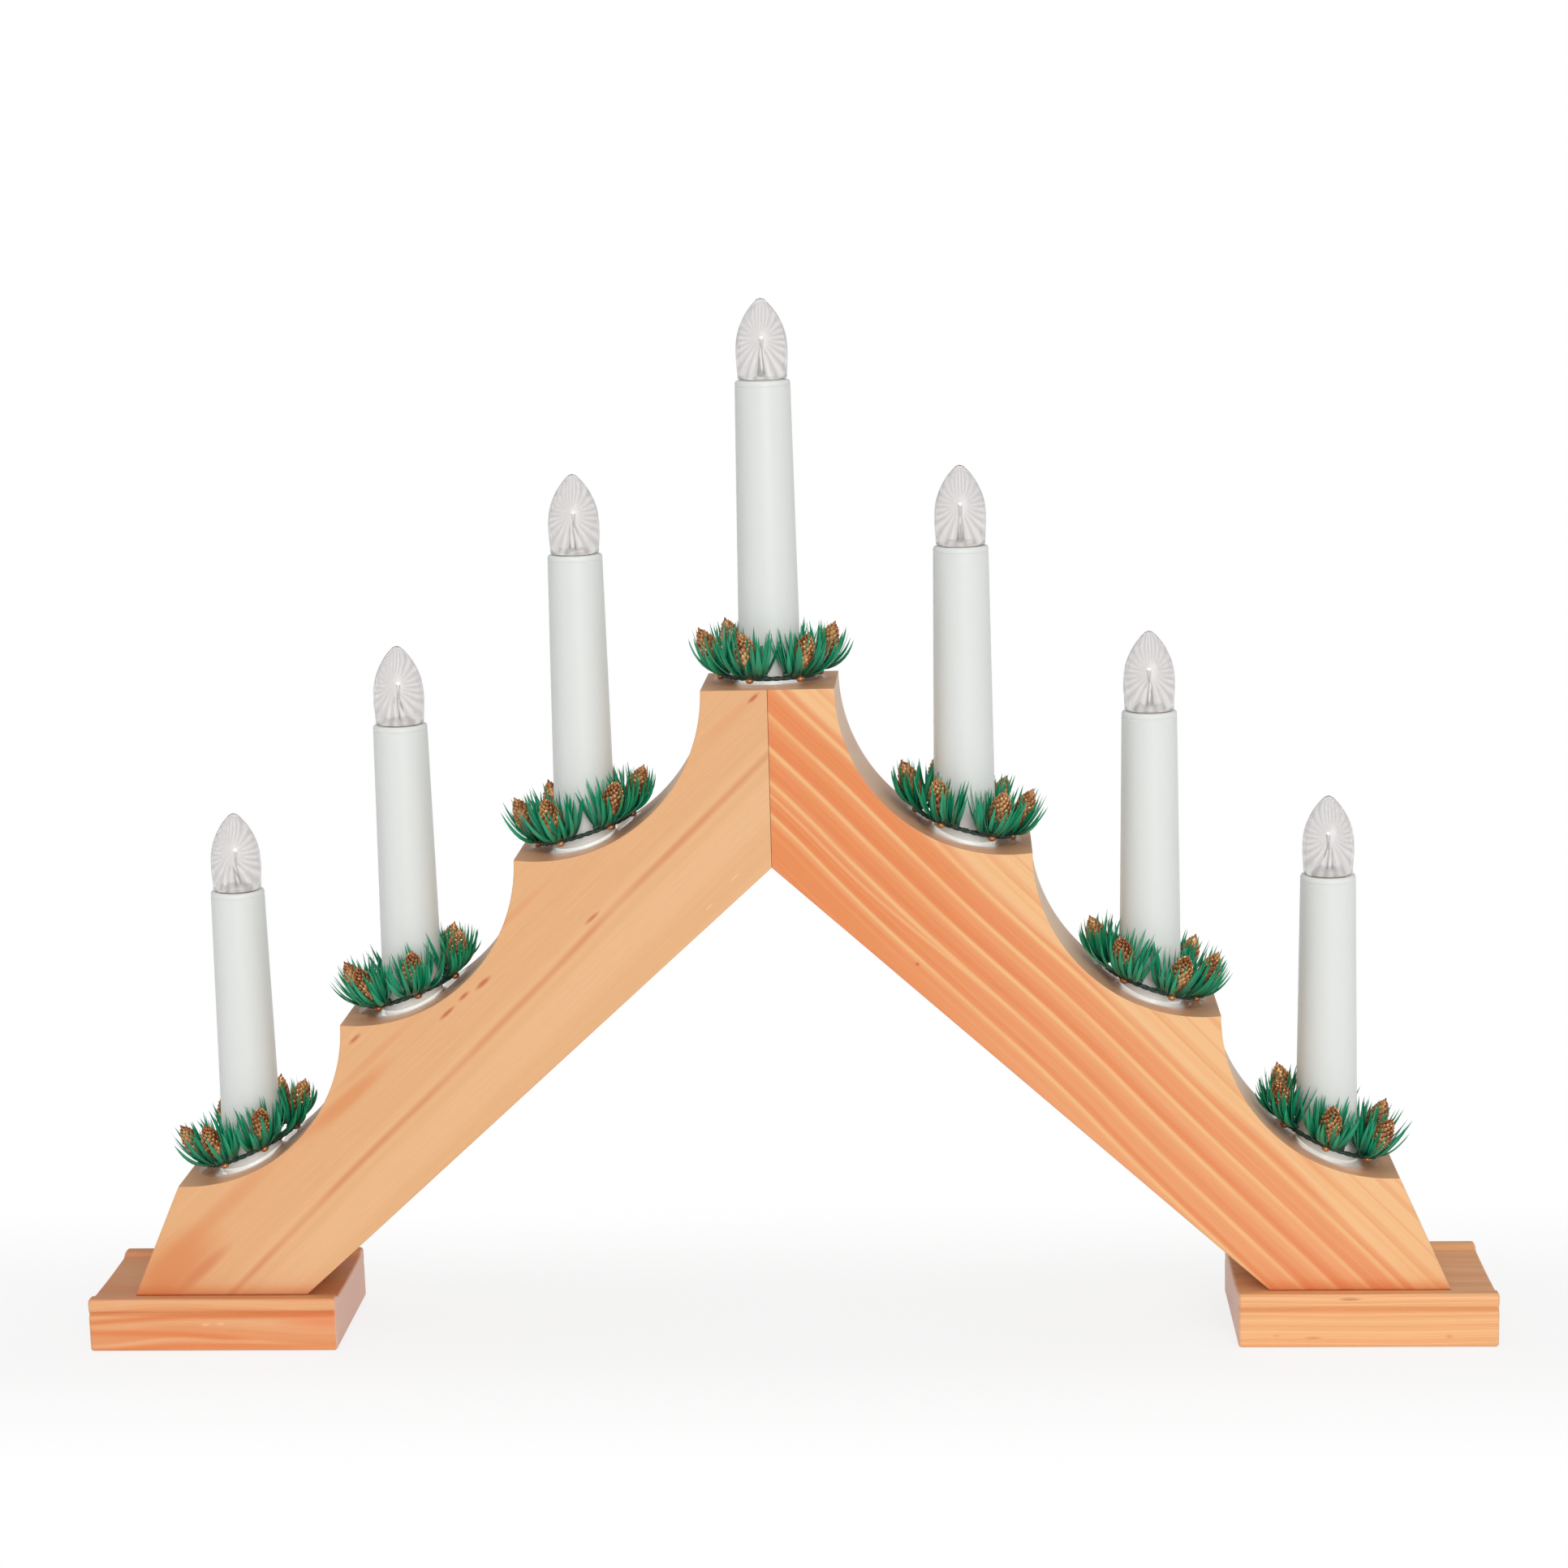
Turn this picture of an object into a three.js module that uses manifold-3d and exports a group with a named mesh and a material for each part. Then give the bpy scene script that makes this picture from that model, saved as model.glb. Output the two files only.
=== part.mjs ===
// An electric candle arch: two scalloped wooden arms joined in a mitre on two moulded feet,
// with seven candle tubes, screw-in flame bulbs, drip discs and small fir wreaths.
// Millimetres, +Z up, the front faces -Y. The origin is on the floor under the mitre.
import * as THREE from 'three';
import { mergeVertices } from 'three/addons/utils/BufferGeometryUtils.js';
import Module from 'manifold-3d';

const wasm = await Module();
wasm.setup();

// Clearance between pieces that touch
const GAP = 0.3;

// Feet, and how far they reach past the arm: at its heel, at its end, and in front and behind
const FOOT_HEEL = 9.1;
const FOOT_TOE = 12.5;
const FOOT_REACH = 7;
const FOOT_HEIGHT = 15.5;
const FOOT_COVE = 1.2;
const FOOT_LIP = 3.6;
const FOOT_COVE_RUN = 1.8;
const FOOT_EDGE = 1.2;
const FOOT_VEE_DROP = 4.4;
const FOOT_VEE_DEPTH = 1.2;
const FOOT_VEE_HALF = 1.3;

// Arms
const ARM_THICKNESS = 34;
const TOP_HEIGHT = 188;
const TOP_HALF_WIDTH = 18.5;
const MITRE_HEIGHT = 50;
const STEP_COUNT = 3;
const SCALLOP_RADIUS = 47.2;
const FIRST_RUN = 53.6;
const RUN_LOSS = 2.1;
const UNDERSIDE_SLOPE = 42;
const END_FLARE = 24;
const LEDGE_INSET = 18.5;
const SOCKET_DEPTH = 14;
const WIRE_HOLE_RADIUS = 4;
const GROOVE_WIDTH = 5;
const GROOVE_DEPTH = 5;
const INLET_RADIUS = 3.5;

// Mitre dowels and foot screws
const DOWEL_RADIUS = 3;
const DOWEL_LENGTH = 32;
const DOWEL_INSET = 5;
const DOWEL_RISE = 20;
const SCREW_RADIUS = 2;
const SCREW_LENGTH = 26;
const SCREW_HEAD_RADIUS = 4;
const SCREW_HEAD_HEIGHT = 2.4;
const SCREW_RECESS = 1;
const SCREW_INSET = 7;

// Candle tubes
const TUBE_RISE = 83.5;
const TUBE_TOP_RADIUS = 7.65;
const TUBE_BASE_RADIUS = 8.7;
const TUBE_WALL = 1.2;
const TUBE_SHOULDER = 0.9;

// Lamp holders and bulbs
const HOLDER_WALL = 1.15;
const HOLDER_SINK = 0.6;
const HOLDER_FLOOR = 9;
const CAP_LENGTH = 13;
const CAP_TIP_LENGTH = 2;
const CAP_TIP_RADIUS = 1.8;
const STEM_RADIUS = 1.3;
const STEM_RISE = 7.5;
const BULB_RISE = 22.2;
const BULB_RADIUS = 7.5;
const BULB_WALL = 1;
const FLUTES = 8;
const FLUTE_DEPTH = 0.025;

// Drip discs
const DISC_RADIUS = 16;
const DISC_THICKNESS = 0.8;

// Wreaths
const RING_RADIUS = 13.5;
const RING_WIRE = 1.1;
const WREATH_TURNS = [0, -10, 5, 10, 0, -10, 25];
const SPRIGS = 6;
const SPRIG_NEEDLES = 5;
const SPRIG_SPREAD = 84;
const SPRIG_THICKNESS = 0.8;
const SPRIG_ROOT = 0.9;
const SPRIG_RISE = 40;
const SPRIG_STAGGER = 12;
const SPRIG_UPHILL = 10;
const NEEDLE_LENGTH = 13;
const NEEDLE_SHORTER = 0.22;
const NEEDLE_PARTING = 0.42;
const PINE_CONE_RISE = 64;
const PINE_CONE_RISE_SPREAD = 12;
const PINE_CONE_LENGTH = 13.2;
const PINE_CONE_RADIUS = 2.9;

// Leads
const LEAD_RADIUS = 0.8;
const LEAD_SIDE = 1.2;
const LEAD_SPREAD = 2;
const LEAD_BEND = 3;
const LEAD_SLIGHT_TURN = 50;

// Facets
const ROUND = 18;
const SMALL_ROUND = 10;
const CONE_SIDES = 5;
const ARC_STEPS = 6;

const rad = THREE.MathUtils.degToRad;
const slope = Math.tan(rad(UNDERSIDE_SLOPE));
const slopeCos = Math.cos(rad(UNDERSIDE_SLOPE));

// A repeatable value from 0 to 1 for the number n
function scatter(n) {
  const value = Math.sin(n * 12.9898 + 4.1414) * 43758.5453;
  return value - Math.floor(value);
}

// Geometry to solid and back
function solid(geometry) {
  const bare = geometry.clone();
  bare.deleteAttribute('normal');
  bare.deleteAttribute('uv');
  const merged = mergeVertices(bare, 1e-4);
  const vertProperties = Float32Array.from(merged.attributes.position.array);
  const triVerts = Uint32Array.from(merged.index.array);
  return new wasm.Manifold(new wasm.Mesh({ numProp: 3, vertProperties, triVerts }));
}

function geometryOf(body) {
  const mesh = body.getMesh();
  const geometry = new THREE.BufferGeometry();
  geometry.setAttribute('position', new THREE.BufferAttribute(Float32Array.from(mesh.vertProperties), 3));
  geometry.setIndex(Array.from(mesh.triVerts));
  geometry.computeVertexNormals();
  return geometry;
}

// A solid of revolution about a vertical axis from its profile of [radius, height] points
function turned(profile, sides, x = 0, y = 0) {
  const points = profile.map(([r, z]) => new THREE.Vector2(r, z));
  const geometry = new THREE.LatheGeometry(points, sides);
  geometry.rotateX(Math.PI / 2);
  geometry.translate(x, y, 0);
  return geometry;
}

// A vertical cylinder from one height to another
function post(radius, low, high, sides, x, y = 0) {
  return turned([[0, low], [radius, low], [radius, high], [0, high]], sides, x, y);
}

// An outline in X and Z, given a depth along Y and centred on y = 0
function slab(shape, depth, curveSegments = ARC_STEPS) {
  const geometry = new THREE.ExtrudeGeometry(shape, { depth, bevelEnabled: false, curveSegments });
  geometry.rotateX(Math.PI / 2);
  geometry.translate(0, depth / 2, 0);
  return geometry;
}

// The ledges of one arm, from the top one outwards: outer corner and scallop centre
const ledges = [{ corner: TOP_HALF_WIDTH, height: TOP_HEIGHT, candle: 0 }];
for (let step = 0; step < STEP_COUNT; step++) {
  const upper = ledges[step];
  const run = FIRST_RUN - RUN_LOSS * step;
  const centre = upper.corner + SCALLOP_RADIUS;
  const past = run - SCALLOP_RADIUS;
  const height = upper.height - Math.sqrt(SCALLOP_RADIUS ** 2 - past ** 2);
  const corner = upper.corner + run;
  ledges.push({ corner, height, centre, top: upper.height, candle: corner - LEDGE_INSET });
}

const footFloor = FOOT_HEIGHT - FOOT_COVE;
const armBottom = footFloor + GAP;
const lastLedge = ledges[STEP_COUNT];
const armEnd = lastLedge.corner + (lastLedge.height - armBottom) * Math.tan(rad(END_FLARE));
const apex = TOP_HEIGHT - MITRE_HEIGHT;
const armHeel = (apex - armBottom) / slope;
const footInner = armHeel - FOOT_HEEL;
const footOuter = armEnd + FOOT_TOE;

// Height of the underside, moved into the wood by an amount square to it
function underside(x, inward = 0) {
  return apex - slope * x + inward / slopeCos;
}

// The candles, left to right
const candles = [];
for (let i = -STEP_COUNT; i <= STEP_COUNT; i++) {
  const ledge = ledges[Math.abs(i)];
  candles.push({ number: i + STEP_COUNT + 1, side: Math.sign(i), ledge, x: Math.sign(i) * ledge.candle });
}

const socketRadius = TUBE_BASE_RADIUS + GAP;

function seatOf(ledge) {
  return ledge.height - SOCKET_DEPTH - GAP;
}

function tubeTopOf(ledge) {
  return ledge.height + TUBE_RISE;
}

// Outline of the right arm
function armOutline() {
  const shape = new THREE.Shape();
  shape.moveTo(GAP / 2, apex);
  shape.lineTo(armHeel, armBottom);
  shape.lineTo(armEnd, armBottom);
  shape.lineTo(lastLedge.corner, lastLedge.height);
  for (let step = STEP_COUNT; step > 0; step--) {
    const ledge = ledges[step];
    const start = Math.atan2(ledge.height - ledge.top, ledge.corner - ledge.centre);
    shape.absarc(ledge.centre, ledge.top, SCALLOP_RADIUS, start, -Math.PI, true);
  }
  shape.lineTo(GAP / 2, TOP_HEIGHT);
  return shape;
}

// The wire groove along the underside and under the foot end of the arm
function grooveOutline() {
  const roof = armBottom + GROOVE_DEPTH;
  const knee = (apex + GROOVE_DEPTH / slopeCos - roof) / slope;
  const outerEnd = Math.max(lastLedge.candle + WIRE_HOLE_RADIUS, knee + GROOVE_DEPTH);
  const shape = new THREE.Shape();
  shape.moveTo(-1, underside(-1, GROOVE_DEPTH));
  shape.lineTo(-1, underside(-1, -1));
  shape.lineTo(armHeel - 1, armBottom - 1);
  shape.lineTo(outerEnd, armBottom - 1);
  shape.lineTo(outerEnd, roof);
  shape.lineTo(knee, roof);
  return shape;
}

const inletHeight = (armBottom + GROOVE_DEPTH + seatOf(lastLedge)) / 2;
const screwX = (armHeel + armEnd) / 2;
const screwSide = ARM_THICKNESS / 2 - SCREW_INSET;
const screwTop = SCREW_RECESS + SCREW_LENGTH;
const dowelSide = ARM_THICKNESS / 2 - DOWEL_INSET;
const dowelHeight = apex + DOWEL_RISE;

// One arm, made as the right one and mirrored for the left
function armGeometry(side) {
  let body = solid(slab(armOutline(), ARM_THICKNESS));
  for (const ledge of ledges) {
    const seat = seatOf(ledge);
    const floor = Math.max(underside(ledge.candle + WIRE_HOLE_RADIUS), armBottom) - 1;
    body = body.subtract(solid(post(socketRadius, seat, TOP_HEIGHT + 1, ROUND, ledge.candle)));
    body = body.subtract(solid(post(WIRE_HOLE_RADIUS, floor, seat + 1, SMALL_ROUND, ledge.candle)));
  }
  body = body.subtract(solid(slab(grooveOutline(), GROOVE_WIDTH)));
  for (const front of [-1, 1]) {
    const dowelHole = new THREE.CylinderGeometry(
      DOWEL_RADIUS + GAP, DOWEL_RADIUS + GAP, DOWEL_LENGTH + 2 * GAP, SMALL_ROUND);
    dowelHole.rotateZ(Math.PI / 2);
    dowelHole.translate(0, front * dowelSide, dowelHeight);
    body = body.subtract(solid(dowelHole));
    const pilotRadius = SCREW_RADIUS + GAP;
    const pilot = post(pilotRadius, armBottom - 1, screwTop + GAP, SMALL_ROUND, screwX, front * screwSide);
    body = body.subtract(solid(pilot));
  }
  if (side < 0) {
    const depth = ARM_THICKNESS / 2 + 1;
    const inlet = new THREE.CylinderGeometry(INLET_RADIUS, INLET_RADIUS, depth, SMALL_ROUND);
    inlet.translate(lastLedge.candle, depth / 2, inletHeight);
    body = body.subtract(solid(inlet)).mirror([1, 0, 0]);
  }
  return geometryOf(body);
}

// Cross-section of a foot moulding, in Y and Z, with a lip, a cove and a V groove on each side
function footGeometry(side) {
  const half = ARM_THICKNESS / 2 + FOOT_REACH;
  const vee = FOOT_HEIGHT - FOOT_VEE_DROP;
  const front = [
    [half - FOOT_EDGE / 2, 0],
    [half, FOOT_EDGE / 2],
    [half, vee - FOOT_VEE_HALF],
    [half - FOOT_VEE_DEPTH, vee],
    [half, vee + FOOT_VEE_HALF],
    [half, FOOT_HEIGHT - FOOT_EDGE],
    [half - FOOT_EDGE, FOOT_HEIGHT],
    [half - FOOT_LIP, FOOT_HEIGHT],
    [half - FOOT_LIP - FOOT_COVE_RUN, footFloor],
  ];
  const back = front.map(([y, z]) => [-y, z]).reverse();
  const shape = new THREE.Shape([...front, ...back].map(([y, z]) => new THREE.Vector2(y, z)));
  const bar = new THREE.ExtrudeGeometry(shape, { depth: footOuter - footInner, bevelEnabled: false });
  bar.rotateX(Math.PI / 2);
  bar.rotateZ(Math.PI / 2);
  bar.translate(side > 0 ? footInner : -footOuter, 0, 0);
  let body = solid(bar);
  for (const y of [-screwSide, screwSide]) {
    const hole = turned([
      [0, -1],
      [SCREW_HEAD_RADIUS + GAP, -1],
      [SCREW_HEAD_RADIUS + GAP, SCREW_RECESS + GAP],
      [SCREW_RADIUS + GAP, SCREW_RECESS + SCREW_HEAD_HEIGHT + GAP],
      [SCREW_RADIUS + GAP, FOOT_HEIGHT + 1],
      [0, FOOT_HEIGHT + 1],
    ], SMALL_ROUND, side * screwX, y);
    body = body.subtract(solid(hole));
  }
  return geometryOf(body);
}

function screwGeometry(side, y) {
  return turned([
    [0, SCREW_RECESS],
    [SCREW_HEAD_RADIUS, SCREW_RECESS],
    [SCREW_RADIUS, SCREW_RECESS + SCREW_HEAD_HEIGHT],
    [SCREW_RADIUS, screwTop - SCREW_RADIUS],
    [0, screwTop],
  ], SMALL_ROUND, side * screwX, y);
}

function dowelGeometry(front) {
  const geometry = new THREE.CylinderGeometry(DOWEL_RADIUS, DOWEL_RADIUS, DOWEL_LENGTH, SMALL_ROUND);
  geometry.rotateZ(Math.PI / 2);
  geometry.translate(0, front * dowelSide, dowelHeight);
  return geometry;
}

// A tapered candle tube that stands in its socket
function tubeGeometry({ ledge, x }) {
  const top = tubeTopOf(ledge);
  const foot = ledge.height - SOCKET_DEPTH;
  return turned([
    [TUBE_BASE_RADIUS, foot],
    [TUBE_BASE_RADIUS, ledge.height],
    [TUBE_TOP_RADIUS, top - TUBE_SHOULDER],
    [TUBE_TOP_RADIUS - TUBE_SHOULDER, top],
    [TUBE_TOP_RADIUS - TUBE_WALL, top],
    [TUBE_BASE_RADIUS - TUBE_WALL, ledge.height],
    [TUBE_BASE_RADIUS - TUBE_WALL, foot],
    [TUBE_BASE_RADIUS, foot],
  ], ROUND, x);
}

const holderRadius = TUBE_TOP_RADIUS - TUBE_WALL - GAP;
const holderBore = holderRadius - HOLDER_WALL;
const capRadius = holderBore - GAP;
const holderDepth = CAP_LENGTH + CAP_TIP_LENGTH + GAP;
const holderBottom = holderDepth + HOLDER_FLOOR;

// A lamp holder: a cup pressed into the top of the tube
function holderGeometry({ ledge, x }) {
  const top = tubeTopOf(ledge);
  return turned([
    [0, top - holderBottom],
    [holderRadius, top - holderBottom],
    [holderRadius, top - HOLDER_SINK],
    [holderBore, top - HOLDER_SINK],
    [holderBore, top - holderDepth],
    [0, top - holderDepth],
  ], SMALL_ROUND, x);
}

// A screw cap with its contact below and the lamp's stem above
function capGeometry({ ledge, x }) {
  const top = tubeTopOf(ledge);
  const collar = GAP + BULB_WALL;
  return turned([
    [0, top - CAP_LENGTH - CAP_TIP_LENGTH],
    [CAP_TIP_RADIUS, top - CAP_LENGTH - CAP_TIP_LENGTH],
    [CAP_TIP_RADIUS, top - CAP_LENGTH],
    [capRadius, top - CAP_LENGTH + CAP_TIP_RADIUS],
    [capRadius, top + collar],
    [STEM_RADIUS, top + collar + STEM_RADIUS],
    [STEM_RADIUS, top + STEM_RISE],
    [0, top + STEM_RISE],
  ], SMALL_ROUND, x);
}

// Radius of the flame over its height, as shares of the bulb's radius and rise
const FLAME_PROFILE = [[0.92, 0], [1, 0.27], [0.92, 0.51], [0.74, 0.68], [0.42, 0.87]];

// A fluted hollow flame that the screw cap carries
function bulbGeometry({ ledge, x }) {
  const base = tubeTopOf(ledge) + GAP;
  const rise = BULB_RISE - GAP;
  const skin = FLAME_PROFILE.map(([r, h]) => [r * BULB_RADIUS, base + h * rise]);
  const inner = FLAME_PROFILE.slice(1, 4).map(([r, h]) => [r * BULB_RADIUS - BULB_WALL, base + h * rise]);
  const geometry = turned([
    [capRadius + GAP, base],
    ...skin,
    [0, base + rise],
    [0, base + rise - 2 * BULB_WALL],
    ...inner.reverse(),
    [capRadius + GAP, base + BULB_WALL],
    [capRadius + GAP, base],
  ], 2 * FLUTES);
  const places = geometry.attributes.position;
  for (let i = 0; i < places.count; i++) {
    const radius = Math.hypot(places.getX(i), places.getY(i));
    if (radius > capRadius + 2 * GAP) {
      const turn = Math.atan2(places.getY(i), places.getX(i));
      const factor = 1 + FLUTE_DEPTH * Math.cos(FLUTES * turn);
      places.setX(i, places.getX(i) * factor);
      places.setY(i, places.getY(i) * factor);
    }
  }
  geometry.translate(x, 0, 0);
  return geometry;
}

// A thin disc around the tube, bent to lie in its scallop
function discGeometry({ side, ledge, x }) {
  const bottom = ledge.height + GAP;
  if (side === 0) {
    const inner = TUBE_BASE_RADIUS + GAP;
    return turned([
      [inner, bottom],
      [DISC_RADIUS, bottom],
      [DISC_RADIUS, bottom + DISC_THICKNESS],
      [inner, bottom + DISC_THICKNESS],
      [inner, bottom],
    ], ROUND, x);
  }
  const outer = SCALLOP_RADIUS - GAP;
  const start = Math.atan2(ledge.height - ledge.top, ledge.corner - ledge.centre);
  const band = new THREE.Shape();
  band.absarc(ledge.centre, ledge.top, outer, start, -Math.PI, true);
  band.absarc(ledge.centre, ledge.top, outer - DISC_THICKNESS, -Math.PI, start, false);
  const cutter = post(DISC_RADIUS, 0, TOP_HEIGHT, ROUND, ledge.candle);
  const hole = post(TUBE_BASE_RADIUS + GAP, 0, TOP_HEIGHT, ROUND, ledge.candle);
  const body = solid(slab(band, ARM_THICKNESS)).intersect(solid(cutter)).subtract(solid(hole));
  return geometryOf(side < 0 ? body.mirror([1, 0, 0]) : body);
}

// Where a wreath's ring lies on its disc: the height of its centre and its tilt
function wreathPlace({ side, ledge }) {
  const stack = GAP + DISC_THICKNESS + GAP + RING_WIRE;
  if (side === 0) {
    return { height: ledge.height + stack, tilt: 0 };
  }
  const reach = Math.sqrt((SCALLOP_RADIUS - stack) ** 2 - RING_RADIUS ** 2);
  const lean = Math.asin((ledge.centre - ledge.candle) / reach);
  return { height: ledge.top - reach * Math.cos(lean), tilt: side * lean };
}

// Turns a form that points up +Z to a rise above the horizontal and sets its root on the ring
function plant(geometry, turn, rise) {
  geometry.rotateX(rise - Math.PI / 2);
  geometry.translate(0, RING_RADIUS, 0);
  geometry.rotateZ(turn);
  return geometry;
}

// A flat sprig of needles that fan out from one root
function sprigGeometry(seed) {
  const spread = rad(SPRIG_SPREAD);
  const at = (angle, length) => new THREE.Vector2(length * Math.sin(angle), length * Math.cos(angle));
  const outline = [new THREE.Vector2(SPRIG_ROOT, 0), new THREE.Vector2(-SPRIG_ROOT, 0)];
  for (let needle = 0; needle < SPRIG_NEEDLES; needle++) {
    const angle = spread * (needle / (SPRIG_NEEDLES - 1) - 0.5);
    outline.push(at(angle, NEEDLE_LENGTH * (1 - NEEDLE_SHORTER * scatter(seed + needle))));
    if (needle < SPRIG_NEEDLES - 1) {
      outline.push(at(angle + spread / (SPRIG_NEEDLES - 1) / 2, NEEDLE_PARTING * NEEDLE_LENGTH));
    }
  }
  const options = { depth: SPRIG_THICKNESS, bevelEnabled: false };
  const geometry = new THREE.ExtrudeGeometry(new THREE.Shape(outline), options);
  geometry.translate(0, 0, -SPRIG_THICKNESS / 2);
  geometry.rotateX(Math.PI / 2);
  return geometry;
}

// A pine cone with its stalk, pointing up from its root
function pineConeGeometry() {
  return turned([
    [0, 0],
    [0.75 * PINE_CONE_RADIUS, 0.22 * PINE_CONE_LENGTH],
    [PINE_CONE_RADIUS, 0.45 * PINE_CONE_LENGTH],
    [0.62 * PINE_CONE_RADIUS, 0.76 * PINE_CONE_LENGTH],
    [0, PINE_CONE_LENGTH],
  ], CONE_SIDES);
}

// A wreath: a wire ring with sprigs of needles, and a pine cone in the middle of each sprig
function wreathGeometry(candle) {
  const { number, side, x } = candle;
  const { height, tilt } = wreathPlace(candle);
  let body = solid(new THREE.TorusGeometry(RING_RADIUS, RING_WIRE, 5, 12));
  for (let sprig = 0; sprig < SPRIGS; sprig++) {
    const seed = number * 101 + sprig * 11;
    const step = (sprig + 0.5 + 0.2 * (scatter(seed) - 0.5)) / SPRIGS;
    const turn = rad(WREATH_TURNS[number - 1] + 360 * step);
    const uphill = side * Math.sin(turn);
    const rise = rad(SPRIG_RISE + SPRIG_UPHILL * uphill + SPRIG_STAGGER * (sprig % 2));
    const coneRise = rad(PINE_CONE_RISE + PINE_CONE_RISE_SPREAD * scatter(seed + 3));
    body = body.add(solid(plant(sprigGeometry(seed), turn, rise)));
    body = body.add(solid(plant(pineConeGeometry(), turn, coneRise)));
  }
  const geometry = geometryOf(body);
  geometry.rotateY(tilt);
  geometry.translate(x, 0, height);
  return geometry;
}

// A lead's route through its corner points, with each corner bent round
class LeadRoute extends THREE.Curve {
  constructor(corners) {
    super();
    const bends = corners.slice(1, -1).flatMap((corner, i) => {
      const before = corners[i].clone().sub(corner);
      const after = corners[i + 2].clone().sub(corner);
      if (before.angleTo(after) > rad(180 - LEAD_SLIGHT_TURN)) {
        return [corner];
      }
      const radius = Math.min(LEAD_BEND, before.length() / 2, after.length() / 2);
      const from = corner.clone().add(before.setLength(radius));
      const to = corner.clone().add(after.setLength(radius));
      return new THREE.QuadraticBezierCurve3(from, corner, to).getPoints(3);
    });
    this.points = [corners[0], ...bends, corners[corners.length - 1]];
  }

  getPoint(t) {
    const place = t * (this.points.length - 1);
    const index = Math.min(Math.floor(place), this.points.length - 2);
    return this.points[index].clone().lerp(this.points[index + 1], place - index);
  }

  getPointAt(u) {
    return this.getPoint(u);
  }

  getTangent(t) {
    const last = this.points.length - 1;
    const index = Math.round(t * last);
    const before = this.points[Math.max(index - 1, 0)];
    const after = this.points[Math.min(index + 1, last)];
    return after.clone().sub(before).normalize();
  }

  getTangentAt(u) {
    return this.getTangent(u);
  }
}

function leadGeometry(corners) {
  const route = new LeadRoute(corners.map(([x, y, z]) => new THREE.Vector3(x, y, z)));
  const section = new THREE.Shape();
  section.absarc(0, 0, LEAD_RADIUS, 0, 2 * Math.PI, false);
  const steps = route.points.length - 1;
  return new THREE.ExtrudeGeometry(section, { steps, extrudePath: route, curveSegments: 3 });
}

const leadDepth = GROOVE_DEPTH - LEAD_RADIUS - GAP;
const leadFloor = armBottom + leadDepth;
const leadKnee = (underside(0, leadDepth) - leadFloor) / slope;

// Height of a lead in the groove
function grooveLine(x) {
  return Math.max(underside(Math.abs(x), leadDepth), leadFloor);
}

function leadEnd({ ledge }) {
  return tubeTopOf(ledge) - holderBottom - GAP;
}

// The corners of a lead that lies in the groove from one place to another
function grooveCorners(start, end, side) {
  const turns = [-leadKnee, 0, leadKnee].filter((turn) => turn > start && turn < end);
  return [start, ...turns, end].map((x) => [x, side, grooveLine(x)]);
}

// A link from one lamp holder to the next, down its hole, along the groove and up again
function linkCorners(from, to) {
  const start = from.x + LEAD_SPREAD;
  const end = to.x - LEAD_SPREAD;
  return [
    [start, LEAD_SIDE, leadEnd(from)],
    ...grooveCorners(start, end, LEAD_SIDE),
    [end, LEAD_SIDE, leadEnd(to)],
  ];
}

const inletMouth = ARM_THICKNESS / 2 - 1;

function feedCorners() {
  const first = candles[0];
  const x = first.x - LEAD_SPREAD;
  return [
    [x, inletMouth, inletHeight],
    [x, LEAD_SIDE, inletHeight],
    [x, LEAD_SIDE, leadEnd(first)],
  ];
}

function returnCorners() {
  const first = candles[0];
  const last = candles[candles.length - 1];
  const end = last.x + LEAD_SPREAD;
  return [
    [first.x, inletMouth, inletHeight],
    [first.x, -LEAD_SIDE, inletHeight],
    ...grooveCorners(first.x, end, -LEAD_SIDE),
    [end, -LEAD_SIDE, leadEnd(last)],
  ];
}

// Finishes
const finish = (color, roughness, metalness = 0) => ({ color, roughness, metalness });
const FINISHES = {
  pineLight: finish(0xe0a068, 0.55),
  pineWarm: finish(0xd8834a, 0.55),
  tube: finish(0xe4e6e6, 0.35),
  holder: finish(0xd8d4c8, 0.5),
  brass: finish(0xc8a860, 0.3, 0.9),
  clear: finish(0xf0ece0, 0.08),
  disc: finish(0xe0e4e2, 0.4),
  needles: finish(0x0f5a3c, 0.4),
  steel: finish(0xb0b4b8, 0.35, 0.8),
  beech: finish(0xd8b890, 0.6),
  insulation: finish(0xe8e8e4, 0.45),
};

const arch = new THREE.Group();

function addPiece(name, geometry, finishName) {
  const mesh = new THREE.Mesh(geometry, new THREE.MeshStandardMaterial(FINISHES[finishName]));
  mesh.name = name;
  arch.add(mesh);
}

for (const [name, side, wood] of [['left', -1, 'pineLight'], ['right', 1, 'pineWarm']]) {
  addPiece(`arm_${name}`, armGeometry(side), wood);
  addPiece(`foot_${name}`, footGeometry(side), 'pineWarm');
  addPiece(`foot_screw_${name}_front`, screwGeometry(side, -screwSide), 'steel');
  addPiece(`foot_screw_${name}_back`, screwGeometry(side, screwSide), 'steel');
}
addPiece('mitre_dowel_front', dowelGeometry(-1), 'beech');
addPiece('mitre_dowel_back', dowelGeometry(1), 'beech');

for (const candle of candles) {
  addPiece(`candle_tube_${candle.number}`, tubeGeometry(candle), 'tube');
  addPiece(`lamp_holder_${candle.number}`, holderGeometry(candle), 'holder');
  addPiece(`bulb_cap_${candle.number}`, capGeometry(candle), 'brass');
  addPiece(`flame_bulb_${candle.number}`, bulbGeometry(candle), 'clear');
  addPiece(`drip_disc_${candle.number}`, discGeometry(candle), 'disc');
  addPiece(`wreath_${candle.number}`, wreathGeometry(candle), 'needles');
}

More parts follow.
